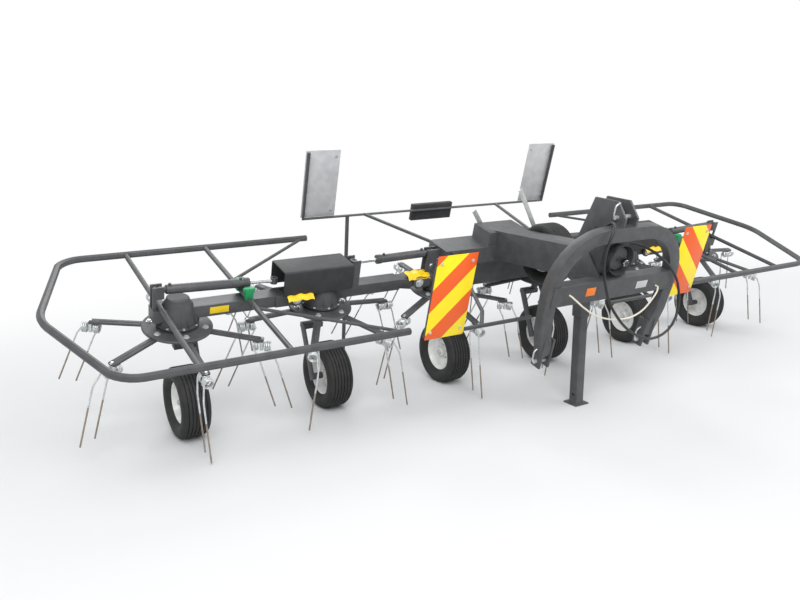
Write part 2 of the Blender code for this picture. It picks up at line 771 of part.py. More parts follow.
def cover_mesh():
    """Moulded cover, open below and at its outboard end, on a pedestal over the housing."""
    length = COVER_OUTER_X - COVER_INNER_X
    middle_x = (COVER_OUTER_X + COVER_INNER_X) / 2
    low = COVER_BOTTOM - 0.024
    height = COVER_TOP - low
    middle_z = (COVER_TOP + low) / 2
    outside = block((length, COVER_HALF_WIDTH * 2, height), (middle_x, 0, middle_z))
    obj = temporary(outside)
    bevel = obj.modifiers.new("Bevel", "BEVEL")
    bevel.width = 0.012
    bevel.segments = 3
    bevel.limit_method = "NONE"
    outside = baked(obj)
    inside = block(
        (length, COVER_HALF_WIDTH * 2 - 2 * COVER_WALL, height),
        (middle_x + COVER_WALL, 0, middle_z - COVER_WALL),
    )
    trim = block((length * 2, 0.5, 0.06), (middle_x, 0, COVER_BOTTOM - 0.03))
    shell = cut(cut(outside, inside), trim)
    pedestal = block(
        (0.050, 0.050, COVER_TOP - HOUSING_TOP - SEAT_GAP - 0.002),
        (ROTOR_X[1], 0, (COVER_TOP - 0.002 + HOUSING_TOP + SEAT_GAP) / 2),
    )
    return united(shell, pedestal)


def add_covers(builder):
    cover = cover_mesh()
    for side_name, side in SIDES:
        shape = placed(cover, mirrored_x()) if side < 0 else cover
        builder.node(f"{side_name}_linkage_cover", shape, "plastic_black")


# --- Centre frame ------------------------------------------------------------
def to_pitched(point):
    """A point square to the ground, in the pitched frame."""
    x, y, z = point
    turned_back = Matrix.Rotation(-PITCH, 3, "X") @ Vector((x, y, z - DISC_HEIGHT))
    return turned_back


def level_block(low, high):
    """A box square to the ground, given by two corners, in the pitched frame."""
    low, high = Vector(low), Vector(high)
    return block(high - low, to_pitched((low + high) / 2), Matrix.Rotation(-PITCH, 3, "X"))


def centre_frame_mesh():
    beam_half = INNER_HINGE_X - HINGE_ROOM
    pieces = []
    for side in (-1, 1):
        pieces += hinge_fork(side * INNER_HINGE_X, -side, HINGE_ROOM + 0.009)
        half_gap = CYL_EYE_LENGTH / 2 + SEAT_GAP
        top = INNER_CYL_ANCHOR_Z + 0.028
        foot, end = side * (ROTOR_X[0] + BELL_ROOM), side * (INNER_CYL_ANCHOR_X + 0.030)
        pieces += fork_lugs(foot, end, BEAM_TOP - 0.004, top, half_gap)
        pieces += fork_lugs(side * (CENTRE_BOX_HALF - 0.004), end, CENTRE_BOX_BOTTOM, top, half_gap)
    box_height = CENTRE_BOX_END_TOP - CENTRE_BOX_BOTTOM
    box_mid = CENTRE_BOX_BOTTOM + box_height / 2
    pieces.append(block((CENTRE_BOX_HALF * 2, CENTRE_BOX_DEPTH, box_height), (0, 0, box_mid)))
    crown = (DRAWBAR_WIDTH * 1.6, CENTRE_BOX_DEPTH - 0.020, box_height)
    pieces.append(block(crown, (0, 0, CENTRE_BOX_TOP - box_height / 2)))
    casing_height = CENTRE_BOX_BOTTOM - CASING_BOTTOM + 0.004
    pieces.append(
        block((CASING_HALF * 2, CASING_DEPTH, casing_height), (0, 0, CASING_BOTTOM + casing_height / 2))
    )
    half = DRAWBAR_WIDTH / 2
    pieces.append(
        level_block((-half, DRAWBAR_FRONT_Y, DRAWBAR_BOTTOM), (half, -0.020, DRAWBAR_TOP))
    )
    sleeve_half = STAND_SIZE / 2 + RUN_GAP + SLEEVE_WALL
    pieces.append(
        level_block((-sleeve_half, STAND_Y - sleeve_half, 0.560),
                    (sleeve_half, STAND_Y + sleeve_half, DRAWBAR_BOTTOM + 0.010))
    )
    body = united(beam_box(-beam_half, beam_half), *pieces)
    room = STAND_SIZE / 2 + RUN_GAP
    bore = level_block((-room, STAND_Y - room, 0.500), (room, STAND_Y + room, 1.200))
    return cut(body, bore)


def add_centre(builder):
    builder.node("centre_frame", centre_frame_mesh(), "anthracite")


# --- Headstock ---------------------------------------------------------------
def arch_centreline():
    """Half of the inverted U in X and Z: foot, knee, shoulder, then a bend to the crown."""
    bend_radius = ARCH_CROWN[1] - ARCH_SHOULDER[1]
    centre = (ARCH_SHOULDER[0] - bend_radius, ARCH_SHOULDER[1])
    half = [ARCH_FOOT, ARCH_KNEE] + arc(centre, bend_radius, 0, 90, 9)
    return half


def ribbon(points, width, depth, centre_y):
    """A rectangular tube along a line in X and Z, mitred at its points."""
    left, right = [], []
    for i, point in enumerate(points):
        before = Vector(points[max(i - 1, 0)])
        after = Vector(points[min(i + 1, len(points) - 1)])
        along = (after - before).normalized()
        side = Vector((-along.y, along.x)) * width / 2
        left.append(Vector(point) + side)
        right.append(Vector(point) - side)
    outline = left + right[::-1]
    stand_up = at(0, centre_y, 0) @ Matrix.Rotation(math.radians(90), 4, "X")
    return plate([(p.x, p.y) for p in outline], depth, stand_up)


def headstock_mesh():
    half = arch_centreline()
    whole = half + [(-x, z) for x, z in reversed(half)]
    arch = ribbon(whole, ARCH_WIDTH, ARCH_DEPTH, HEAD_Y)
    cross_mid = (CROSS_TOP + CROSS_BOTTOM) / 2
    pieces = [
        block((ARCH_SHOULDER[0] * 2, 0.070, CROSS_TOP - CROSS_BOTTOM), (0, HEAD_Y, cross_mid))
    ]
    for side in (-1, 1):
        for offset in (-1, 1):
            x = side * ARCH_FOOT[0] + offset * (CLEVIS_GAP + CLEVIS_PLATE) / 2
            outline = [(-0.035, -0.07), (0.035, -0.07), (0.035, 0.11), (-0.035, 0.11)]
            stand = at(x, HEAD_Y, ARCH_FOOT[1] - 0.005) @ Matrix.Rotation(math.radians(90), 4, "X")
            stand = stand @ Matrix.Rotation(math.radians(90), 4, "Y")
            pieces.append(plate(outline, CLEVIS_PLATE, stand))
        x = side * (MAST_HALF_GAP + MAST_PLATE / 2)
        foot = [tuple(to_pitched((0, y, DRAWBAR_TOP + SEAT_GAP)).yz) for y in (-0.845, -0.885)]
        outline = [foot[0], foot[1], (-0.850, 0.740), (-0.990, 0.760), (-1.045, 0.780)]
        outline += [(-1.045, 0.860), (-0.960, 0.935), (-0.790, 0.900)]
        pieces.append(plate(outline, MAST_PLATE, upright_at(x)))
        x = side * (DRAWBAR_WIDTH / 2 + SEAT_GAP + CHEEK_THICKNESS / 2)
        outline = [(-1.010, 0.370), (-0.740, 0.400), (-0.740, 0.560), (-0.900, 0.600), (-1.010, 0.510)]
        pieces.append(plate(outline, CHEEK_THICKNESS, upright_at(x)))
    return united(arch, *pieces)


def add_headstock(builder):
    builder.node("headstock", headstock_mesh(), "anthracite")


def add_stand(builder):
    half = STAND_SIZE / 2
    leg = block(
        (STAND_SIZE, STAND_SIZE, STAND_TOP - STAND_FOOT_THICKNESS / 2),
        (0, 0, (STAND_TOP + STAND_FOOT_THICKNESS / 2) / 2),
    )
    foot = block(
        (STAND_FOOT, STAND_FOOT, STAND_FOOT_THICKNESS), (0, 0, STAND_FOOT_THICKNESS / 2)
    )
    hole = rod((-half * 2, 0, 0.060), (half * 2, 0, 0.060), 0.009, 12)
    mesh = cut(united(leg, foot), hole)
    builder.node("parking_stand", mesh, "anthracite", (0, STAND_Y, 0), builder.ground)


def add_gearbox(builder):
    front = HEAD_Y + 0.040
    box = block(
        (DRAWBAR_WIDTH, GEARBOX_BACK_Y - front, 0.200), (0, (GEARBOX_BACK_Y + front) / 2, 0.610)
    )
    stub = rod((0, front + 0.005, 0.610), (0, HEAD_Y - 0.060, 0.610), 0.0175, 12)
    guard = rod((0, front + 0.004, 0.610), (0, HEAD_Y + 0.005, 0.610), 0.070, 16)
    builder.node("main_gearbox", united(box, stub, guard), "anthracite")


# --- Marker panels and lamp bar ----------------------------------------------
def panel_mesh(bottom, top, y):
    centre_x = PANEL_INNER_X + PANEL_WIDTH / 2
    return block((PANEL_WIDTH, PANEL_THICKNESS, top - bottom), (centre_x, y, (top + bottom) / 2))


def foot_pad(x, y, z):
    """Bolting pad at the end of a stay, flat on the centre box."""
    return block((0.060, PAD_THICKNESS, 0.070), (x, y, z))


def front_guard_mesh():
    """Front rail of the centre section with the tube frame that holds a marker panel."""
    back_y = FRONT_PANEL_Y + PANEL_THICKNESS / 2 + SEAT_GAP + FRAME_TUBE
    low = FRONT_PANEL_BOTTOM + 0.020
    rail = tube([(0.330, back_y, low), (PANEL_INNER_X + PANEL_WIDTH, back_y, low)], FRAME_TUBE)
    upright = tube(
        [(PANEL_INNER_X + PANEL_WIDTH - 0.014, back_y, low),
         (PANEL_INNER_X + PANEL_WIDTH - 0.014, back_y, FRONT_PANEL_TOP - 0.020)], FRAME_TUBE
    )
    face_y = -CENTRE_BOX_DEPTH / 2 - SEAT_GAP
    stay = tube([(0.700, back_y, low), (0.640, -0.700, 0.20), (STAY_FOOT_X, face_y - 0.006, 0.26)], FRAME_TUBE)
    return united(rail, upright, stay, foot_pad(STAY_FOOT_X, face_y - PAD_THICKNESS / 2, 0.26))


def rear_bar_mesh():
    front_y = REAR_PANEL_Y - PANEL_THICKNESS / 2 - SEAT_GAP - FRAME_TUBE
    low = REAR_PANEL_BOTTOM - 0.005
    edge = PANEL_INNER_X + PANEL_WIDTH - 0.014
    bar_tube = tube(
        [(-edge, front_y, REAR_PANEL_TOP - 0.01), (-edge, front_y, low), (edge, front_y, low),
         (edge, front_y, REAR_PANEL_TOP - 0.01)], FRAME_TUBE
    )
    pieces = []
    for side in (-1, 1):
        face_y = CENTRE_BOX_DEPTH / 2 + SEAT_GAP
        foot = (side * STAY_FOOT_X, face_y + 0.006, 0.26)
        pieces.append(tube([(side * 0.600, front_y, low), foot], FRAME_TUBE))
        pieces.append(foot_pad(foot[0], face_y + PAD_THICKNESS / 2, foot[2]))
    post_foot = to_pitched((-0.740, 0.800, 0.030))
    pieces.append(tube([(-0.740, front_y, low), tuple(post_foot)], 0.014))
    return united(bar_tube, *pieces)


def add_panels(builder):
    front = panel_mesh(FRONT_PANEL_BOTTOM, FRONT_PANEL_TOP, FRONT_PANEL_Y)
    rear = panel_mesh(REAR_PANEL_BOTTOM, REAR_PANEL_TOP, REAR_PANEL_Y)
    guard = front_guard_mesh()
    for side_name, side in SIDES:
        for label, mesh, finish in (
            ("front_marker_panel", front, "yellow"),
            ("rear_marker_panel", rear, "panel_grey"),
            ("front_guard", guard, "anthracite"),
        ):
            shape = placed(mesh, mirrored_x()) if side < 0 else mesh
            builder.node(f"{side_name}_{label}", shape, finish)
    builder.node("rear_lamp_bar", rear_bar_mesh(), "anthracite")
    bar_back = REAR_PANEL_Y - PANEL_THICKNESS / 2
    holder = block((0.360, 0.030, 0.125), (0, bar_back + 0.015, 0.195))
    builder.node("plate_holder", holder, "plastic_black")


# --- Cords -------------------------------------------------------------------
def add_cords(builder):
    """The hose over the arch and the rope along the cross beam, both hanging free."""
    for name, route, count, radius, finish in (
        ("hydraulic_hose", HOSE_ROUTE, HOSE_POINTS, HOSE_RADIUS, "rubber"),
        ("pull_rope", ROPE_ROUTE, ROPE_POINTS, ROPE_RADIUS, "rope_cream"),
    ):
        builder.node(name, tube(smooth_route(route, count), radius), finish)


# --- Spare wheel -------------------------------------------------------------
def add_spare(builder):
    tyre = tyre_mesh()
    rim = rim_mesh()
    x = DRAWBAR_WIDTH / 2 + SPARE_GAP + TYRE_WIDTH / 2
    builder.node("spare_tyre", tyre, "rubber", (x, SPARE_Y, SPARE_Z), builder.ground)
    builder.node("spare_rim", rim, "white_paint", (x, SPARE_Y, SPARE_Z), builder.ground)


def main():
    clear_scene()
    builder = Builder()
    add_wheels(builder)
    add_rotors(builder)
    add_beams(builder)
    add_hoops(builder)
    add_cylinders(builder)
    add_covers(builder)
    add_centre(builder)
    add_headstock(builder)
    add_stand(builder)
    add_gearbox(builder)
    add_panels(builder)
    add_cords(builder)
    add_spare(builder)


main()
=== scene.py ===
"""Looks of a six-rotor hay tedder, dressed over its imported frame.

The row of rotors, its beams, guards and headstock lean forward together; that
leaning frame is read from the rotors' own joints.  Each class below builds one
sub-assembly and hangs it on the body that carries it.
"""
from __future__ import annotations

import json
import logging
import math
from dataclasses import dataclass
from enum import Enum
from typing import Iterable, Sequence

import bmesh
import bpy
from mathutils import Matrix, Vector

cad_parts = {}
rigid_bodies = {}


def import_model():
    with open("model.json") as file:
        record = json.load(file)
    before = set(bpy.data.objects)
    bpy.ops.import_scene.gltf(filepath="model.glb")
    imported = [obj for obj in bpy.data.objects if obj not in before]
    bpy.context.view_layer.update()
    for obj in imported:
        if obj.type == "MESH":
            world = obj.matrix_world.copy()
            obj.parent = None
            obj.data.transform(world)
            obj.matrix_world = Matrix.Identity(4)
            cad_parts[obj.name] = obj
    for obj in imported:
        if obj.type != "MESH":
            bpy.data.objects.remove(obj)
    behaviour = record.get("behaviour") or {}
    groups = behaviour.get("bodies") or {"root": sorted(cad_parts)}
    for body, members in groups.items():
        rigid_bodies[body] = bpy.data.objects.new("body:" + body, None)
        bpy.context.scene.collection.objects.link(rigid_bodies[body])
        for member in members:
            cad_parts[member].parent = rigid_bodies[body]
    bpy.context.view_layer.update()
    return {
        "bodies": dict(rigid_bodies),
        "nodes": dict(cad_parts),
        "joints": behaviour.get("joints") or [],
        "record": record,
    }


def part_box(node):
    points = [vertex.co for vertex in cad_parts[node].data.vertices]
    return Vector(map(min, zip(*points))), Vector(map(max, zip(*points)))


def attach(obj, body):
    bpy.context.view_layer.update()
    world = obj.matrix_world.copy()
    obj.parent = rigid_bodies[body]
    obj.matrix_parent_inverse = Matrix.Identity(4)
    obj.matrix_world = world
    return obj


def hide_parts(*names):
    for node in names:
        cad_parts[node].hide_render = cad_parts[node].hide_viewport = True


LOG = logging.getLogger("hay_tedder")
ROTOR_X = (0.44, 1.32, 2.20)
PLACES = ("inner", "middle", "outer")
INNER_HINGE_X = 0.645
OUTER_HINGE_X = 1.510
BEAM_MID = 0.080

# Fold cylinders of the right wing: foot eye, rod eye and where the barrel ends
RAM_PLACES = {
    "outer": (Vector((2.312, 0, 0.220)), Vector((1.640, 0, 0.195)), 0.520),
    "inner": (Vector((0.560, 0, 0.260)), Vector((1.120, 0, 0.250)), 0.400),
}


class Side(Enum):
    """The two wings, with the sign of X on which each lies."""

    LEFT = -1
    RIGHT = 1

    @property
    def label(self) -> str:
        """Name prefix of the nodes on this side."""
        return self.name.lower()


WING_BODIES = ("centre", "{side}_inner_wing", "{side}_outer_wing")


def wing_body(side: Side, index: int) -> str:
    """Body that carries the rotor and wheel of that index, counted from the centre."""
    return WING_BODIES[index].format(side=side.label)


# --- Colours and node helpers --------------------------------------------------
def linear(code: str) -> tuple[float, float, float, float]:
    """Turns an sRGB hex colour into Blender's linear values.

    Args:
        code: a colour such as "#4a4a4c".

    Returns:
        Red, green, blue and an alpha of one.
    """
    channels = [int(code[i : i + 2], 16) / 255 for i in (1, 3, 5)]
    values = [c / 12.92 if c <= 0.04045 else ((c + 0.055) / 1.055) ** 2.4 for c in channels]
    return (*values, 1.0)


def add_node(
    tree: bpy.types.NodeTree,
    kind: str,
    settings: dict[str, object] | None = None,
    values: dict[int | str, object] | None = None,
    links: dict[int | str, bpy.types.NodeSocket] | None = None,
) -> bpy.types.Node:
    """Adds a shader or geometry node with its settings, socket values and links.

    Args:
        tree: the node tree it goes into.
        kind: the node's type name.
        settings: attributes of the node.
        values: default values of its inputs, by name or number.
        links: sockets that feed its inputs, by name or number.

    Returns:
        The new node.
    """
    node = tree.nodes.new(kind)
    for key, value in (settings or {}).items():
        setattr(node, key, value)
    for key, value in (values or {}).items():
        node.inputs[key].default_value = value
    for key, socket in (links or {}).items():
        tree.links.new(socket, node.inputs[key])
    return node


# --- Finishes ------------------------------------------------------------------
@dataclass(frozen=True)
class Finish:
    """A procedural surface: a base colour that drifts to a second one, with grain.

    grain_mm is the size of the colour drift, texture_mm that of the bump.
    """

    name: str
    slot: str
    colour: str
    drift: str
    roughness: float = 0.5
    roughness_spread: float = 0.10
    metallic: float = 0.0
    grain_mm: float = 60.0
    texture_mm: float = 4.0
    bump: float = 0.06
    coat: float = 0.0

    def tint(self, tree: bpy.types.NodeTree, point: bpy.types.NodeSocket) -> bpy.types.NodeSocket:
        """Colour over the surface, from a slow noise between the two colours."""
        noise = add_node(
            tree, "ShaderNodeTexNoise", values={"Scale": 1000 / self.grain_mm, "Detail": 5.0},
            links={"Vector": point},
        )
        spread = add_node(
            tree, "ShaderNodeMapRange", values={1: 0.35, 2: 0.70}, links={0: noise.outputs[0]}
        )
        mix = add_node(
            tree, "ShaderNodeMix", {"data_type": "RGBA"},
            {6: linear(self.colour), 7: linear(self.drift)}, {0: spread.outputs[0]},
        )
        return mix.outputs[2]

    def relief(self, tree: bpy.types.NodeTree, point: bpy.types.NodeSocket) -> bpy.types.NodeSocket:
        """Height of the surface texture, here the orange peel of a sprayed coat."""
        noise = add_node(
            tree, "ShaderNodeTexNoise", values={"Scale": 1000 / self.texture_mm, "Detail": 2.0},
            links={"Vector": point},
        )
        return noise.outputs[0]

    def material(self) -> bpy.types.Material:
        """Builds the node material, once a name."""
        known = bpy.data.materials.get(self.name)
        if known:
            return known
        made = bpy.data.materials.new(self.name)
        made.use_nodes = True
        made.diffuse_color = linear(self.colour)
        tree = made.node_tree
        shader = tree.nodes["Principled BSDF"]
        point = add_node(tree, "ShaderNodeTexCoord").outputs["Object"]
        shader.inputs["Metallic"].default_value = self.metallic
        shader.inputs["Coat Weight"].default_value = self.coat
        shader.inputs["Coat Roughness"].default_value = 0.15
        tree.links.new(self.tint(tree, point), shader.inputs["Base Color"])
        height = self.relief(tree, point)
        rough = add_node(
            tree, "ShaderNodeMapRange",
            values={3: self.roughness - self.roughness_spread, 4: self.roughness + self.roughness_spread},
            links={0: height},
        )
        tree.links.new(rough.outputs[0], shader.inputs["Roughness"])
        bump = add_node(
            tree, "ShaderNodeBump", values={"Strength": self.bump, "Distance": 0.001},
            links={"Height": height},
        )
        tree.links.new(bump.outputs[0], shader.inputs["Normal"])
        return made


@dataclass(frozen=True)
class SpangledZinc(Finish):
    """Zinc plate, whose crystals show as patches of light and dark."""

    def tint(self, tree: bpy.types.NodeTree, point: bpy.types.NodeSocket) -> bpy.types.NodeSocket:
        """Colour by crystal, each cell taking its own shade."""
        cells = add_node(
            tree, "ShaderNodeTexVoronoi", values={"Scale": 1000 / self.grain_mm},
            links={"Vector": point},
        )
        mix = add_node(
            tree, "ShaderNodeMix", {"data_type": "RGBA"},
            {6: linear(self.colour), 7: linear(self.drift)}, {0: cells.outputs["Color"]},
        )
        return mix.outputs[2]


@dataclass(frozen=True)
class WarningStripes(Finish):
    """Reflective sheet with slanting bars; lean is +1 or -1, width_mm is one bar."""

    bar: str = "#ea5b0c"
    lean: int = 1
    width_mm: float = 97.0
    start_mm: float = 167.0

    def tint(self, tree: bpy.types.NodeTree, point: bpy.types.NodeSocket) -> bpy.types.NodeSocket:
        """Alternating bars, measured across their slant in the leaning plane."""
        ground = super().tint(tree, point)
        slant = Vector((self.lean, -math.sin(Row.pitch), math.cos(Row.pitch))).normalized()
        slant.x *= -1
        along = add_node(
            tree, "ShaderNodeVectorMath", {"operation": "DOT_PRODUCT"}, {1: slant}, {0: point}
        )
        shifted = add_node(
            tree, "ShaderNodeMath", {"operation": "ADD"}, {1: self.start_mm / 1000},
            {0: along.outputs["Value"]},
        )
        turns = add_node(
            tree, "ShaderNodeMath", {"operation": "MULTIPLY"}, {1: 500 / self.width_mm},
            {0: shifted.outputs[0]},
        )
        wrapped = add_node(tree, "ShaderNodeMath", {"operation": "FRACT"}, links={0: turns.outputs[0]})
        is_bar = add_node(
            tree, "ShaderNodeMath", {"operation": "LESS_THAN"}, {1: 0.5}, {0: wrapped.outputs[0]}
        )
        mix = add_node(
            tree, "ShaderNodeMix", {"data_type": "RGBA"}, {7: linear(self.bar)},
            {0: is_bar.outputs[0], 6: ground},
        )
        return mix.outputs[2]


POWDER_COAT = Finish(
    "powder_coated_steel", "anthracite", "#3f4042", "#4b4c4e", 0.46, 0.08, texture_mm=3.0
)
CAST_IRON_PAINTED = Finish(
    "painted_casting", "anthracite", "#38393b", "#47484a", 0.55, 0.10, texture_mm=2.2, bump=0.25
)
ENAMEL_WHITE = Finish("white_enamel", "white_paint", "#eeeeec", "#dcdcd8", 0.32, 0.05, coat=0.3)
TYRE_RUBBER = Finish(
    "tyre_rubber", "rubber", "#1b1b1c", "#2a2a2a", 0.72, 0.08, texture_mm=1.5, bump=0.2
)
ZINC = SpangledZinc(
    "zinc_plate", "zinc", "#dadddd", "#b3b7b9", 0.36, 0.08, 0.60, grain_mm=9.0, texture_mm=1.2
)
SPRING_STEEL = Finish(
    "tempered_spring_steel", "spring_steel", "#8c7f72", "#a59a8e", 0.38, 0.08, 0.8, grain_mm=25.0
)
CHROME = Finish("hard_chrome", "chrome", "#d8dadb", "#c9cbcc", 0.10, 0.03, 1.0, texture_mm=0.8, bump=0.01)
MOULDED_BLACK = Finish(
    "textured_polypropylene", "black_plastic", "#232426", "#2d2e30", 0.58, 0.08, texture_mm=1.6, bump=0.3
)
SIGNAL_YELLOW = Finish("yellow_polyethylene", "yellow_paint", "#f7cf00", "#e9bd00", 0.42, 0.06)
CLAMP_GREEN = Finish("green_polyamide", "green_plastic", "#0c8f55", "#0a7a48", 0.42, 0.06)
PANEL_BACK = Finish("panel_back_lacquer", "grey_panel", "#c3c5c7", "#b4b6b9", 0.40, 0.06, 0.05)
LABEL_BLANK = Finish("blank_label_film", "yellow_paint", "#f2d21c", "#e8c400", 0.35, 0.05)
LEFT_STRIPES = WarningStripes("reflective_bars_left", "yellow_paint", "#ffe400", "#f8dc00", 0.35, 0.05)
RIGHT_STRIPES = WarningStripes(
    "reflective_bars_right", "yellow_paint", "#ffe400", "#f8dc00", 0.35, 0.05, lean=-1
)

HOSE_RUBBER = Finish(
    "hose_cover_rubber", "hose_rubber", "#161617", "#232324", 0.48, 0.08, texture_mm=2.0, bump=0.15
)
BRAIDED_ROPE = Finish(
    "braided_polypropylene", "cream_rope", "#e6e1d2", "#cfc9b8", 0.80, 0.08, grain_mm=5.0,
    texture_mm=2.0, bump=0.5,
)
LABEL_ORANGE = Finish("blank_orange_film", "yellow_paint", "#ef7d1a", "#e3700f", 0.35, 0.05)

NODE_FINISHES = {
    "anthracite": POWDER_COAT,
    "white_paint": ENAMEL_WHITE,
    "rubber": TYRE_RUBBER,
    "black_plastic": MOULDED_BLACK,
    "yellow_paint": SIGNAL_YELLOW,
    "grey_panel": PANEL_BACK,
    "hose_rubber": HOSE_RUBBER,
    "cream_rope": BRAIDED_ROPE,
}


# --- Places --------------------------------------------------------------------
class Row:
    """The leaning frame of the rotor row, read from the rotors' own joints."""

    pitch: float = 0.0
    place: Matrix = Matrix.Identity(4)

    @classmethod
    def read(cls, record: dict) -> None:
        """Takes the lean and the height of the row from a rotor's joint."""
        joint = next(
            j for j in record["behaviour"]["joints"] if j["name"] == "left_outer_rotor_spin"
        )
        axis, point = Vector(joint["axis"]), Vector(joint["pos_m"])
        cls.pitch = math.atan2(-axis.y, axis.z)
        cls.place = Matrix.Translation((0, point.y, point.z)) @ Matrix.Rotation(cls.pitch, 4, "X")

    @classmethod
    def at(cls, x: float = 0.0, y: float = 0.0, z: float = 0.0) -> Matrix:
        """A place in the leaning frame, as a matrix in the object's frame."""
        return cls.place @ Matrix.Translation((x, y, z))


ALONG_X = Matrix.Rotation(math.radians(90), 4, "Y")
ALONG_Y = Matrix.Rotation(math.radians(90), 4, "X")


# --- Shaping -------------------------------------------------------------------
def lathe(profile: Sequence[tuple[float, float]], steps: int) -> bmesh.types.BMesh:
    """Spins an outline of (radius, height) pairs about Z into a closed shape.

    Args:
        profile: the outline, closed onto itself where it doesn't meet the axis.
        steps: facets round the turn.

    Returns:
        A new bmesh with its normals facing out.
    """
    bm = bmesh.new()
    verts = [bm.verts.new((r, 0, z)) for r, z in profile]
    closed = profile[0][0] > 1e-6
    pairs = list(zip(verts, verts[1:])) + ([(verts[-1], verts[0])] if closed else [])
    edges = [bm.edges.new(pair) for pair in pairs]
    bmesh.ops.spin(
        bm, geom=verts + edges, cent=(0, 0, 0), axis=(0, 0, 1), angle=math.tau, steps=steps,
        use_merge=True,
    )
    bmesh.ops.remove_doubles(bm, verts=bm.verts, dist=1e-5)
    bmesh.ops.recalc_face_normals(bm, faces=bm.faces)
    return bm


def framed(point: Vector, along: Vector, up: Vector) -> Matrix:
    """A matrix at a point whose Z runs along, with its X as near up as it can be."""
    z_axis = along.normalized()
    x_axis = (up - z_axis * up.dot(z_axis)).normalized()
    y_axis = z_axis.cross(x_axis)
    turn = Matrix((x_axis, y_axis, z_axis)).transposed().to_4x4()
    return Matrix.Translation(point) @ turn


def eased(points: Sequence[Sequence[float]], reach: float, steps: int = 4) -> list[Vector]:
    """Rounds the corners of a line of points.

    Args:
        points: the line's own points.
        reach: how far from each corner its bend starts.
        steps: segments in each bend.

    Returns:
        The line with each inner corner made a short curve.
    """
    line = [Vector(p) for p in points]
    smooth = [line[0]]
    for before, corner, after in zip(line, line[1:], line[2:]):
        start = corner + (before - corner).normalized() * min(reach, (before - corner).length / 2)
        end = corner + (after - corner).normalized() * min(reach, (after - corner).length / 2)
        for i in range(steps + 1):
            t = i / steps
            smooth.append(start.lerp(corner, t).lerp(corner.lerp(end, t), t))
    smooth.append(line[-1])
    return smooth


def sweep(points: Sequence[Vector], radius: float, sides: int = 10) -> bmesh.types.BMesh:
    """A round tube along a line, made by extruding a ring from point to point."""
    bm = bmesh.new()
    line = [Vector(p) for p in points]
    tangents = [
        (line[min(i + 1, len(line) - 1)] - line[max(i - 1, 0)]).normalized()
        for i in range(len(line))
    ]
    up = Vector((0, 0, 1)) if abs(tangents[0].z) < 0.9 else Vector((0, 1, 0))
    frame = framed(line[0], tangents[0], up)
    made = bmesh.ops.create_circle(bm, cap_ends=True, segments=sides, radius=radius, matrix=frame)
    ring = made["verts"]
    for point, along in zip(line[1:], tangents[1:]):
        edges = {e for v in ring for e in v.link_edges if e.other_vert(v) in ring}
        grown = bmesh.ops.extrude_edge_only(bm, edges=list(edges))["geom"]
        ring = [v for v in grown if isinstance(v, bmesh.types.BMVert)]
        following = framed(point, along, frame.to_3x3() @ Vector((1, 0, 0)))
        bmesh.ops.transform(bm, matrix=following @ frame.inverted(), verts=ring)
        frame = following
    edges = {e for v in ring for e in v.link_edges if e.other_vert(v) in ring}
    bmesh.ops.holes_fill(bm, edges=list(edges), sides=0)
    bmesh.ops.recalc_face_normals(bm, faces=bm.faces)
    return bm


def block(size: Sequence[float], place: Matrix, soften: float = 0.002) -> bmesh.types.BMesh:
    """A box with softened edges, turned and moved by place."""
    bm = bmesh.new()
    bmesh.ops.create_cube(bm, size=1.0)
    bmesh.ops.scale(bm, vec=size, verts=bm.verts)
    bmesh.ops.bevel(
        bm, geom=bm.edges[:], offset=min(soften, min(size) * 0.3), segments=2, profile=0.5,
        affect="EDGES", material=-1,
    )
    bmesh.ops.transform(bm, matrix=place, verts=bm.verts)
    return bm


def bolt(radius: float, height: float, place: Matrix) -> bmesh.types.BMesh:
    """A hexagon head on its washer, standing along Z."""
    washer = lathe([(0, 0), (radius * 1.45, 0), (radius * 1.45, height * 0.2), (0, height * 0.2)], 20)
    head = bmesh.new()
    bmesh.ops.create_cone(
        head, cap_ends=True, segments=6, radius1=radius, radius2=radius * 0.96, depth=height * 0.8
    )
    bmesh.ops.translate(head, vec=(0, 0, height * 0.6), verts=head.verts)
    shape = joined([washer, head])
    bmesh.ops.transform(shape, matrix=place, verts=shape.verts)
    return shape


def joined(
    shapes: Iterable[bmesh.types.BMesh], places: Sequence[Matrix] = (Matrix.Identity(4),)
) -> bmesh.types.BMesh:
    """Puts shapes into one bmesh, once for each place, and frees them."""
    whole = bmesh.new()
    for shape in shapes:
        for place in places:
            loose = bpy.data.meshes.new("loose")
            shape.to_mesh(loose)
            loose.transform(place)
            if place.determinant() < 0:
                loose.flip_normals()
            whole.from_mesh(loose)
            bpy.data.meshes.remove(loose)
        shape.free()
    return whole


def helix(radius: float, wire: float, length: float, turns: float, start: float) -> bmesh.types.BMesh:
    """A wound wire about X: a ring of wire spun with a drift along the axis.

    Args:
        radius: of the winding's middle line.
        wire: the wire's radius.
        length: along the axis between the two ends' middles.
        turns: how many times it goes round.
        start: angle of its first end about X, in radians.

    Returns:
        A new bmesh centred on the origin.
    """
    bm = bmesh.new()
    steps = round(turns * 14)
    frame = Matrix.Translation((-length / 2, 0, radius)) @ ALONG_Y
    made = bmesh.ops.create_circle(bm, cap_ends=False, segments=7, radius=wire, matrix=frame)
    edges = list({e for v in made["verts"] for e in v.link_edges})
    bmesh.ops.spin(
        bm, geom=made["verts"] + edges, cent=(0, 0, 0), axis=(1, 0, 0),
        dvec=(length / steps, 0, 0), angle=turns * math.tau, steps=steps,
    )
    bmesh.ops.holes_fill(bm, edges=[e for e in bm.edges if e.is_boundary], sides=0)
    bmesh.ops.rotate(bm, cent=(0, 0, 0), matrix=Matrix.Rotation(start, 3, "X"), verts=bm.verts)
    bmesh.ops.recalc_face_normals(bm, faces=bm.faces)
    return bm


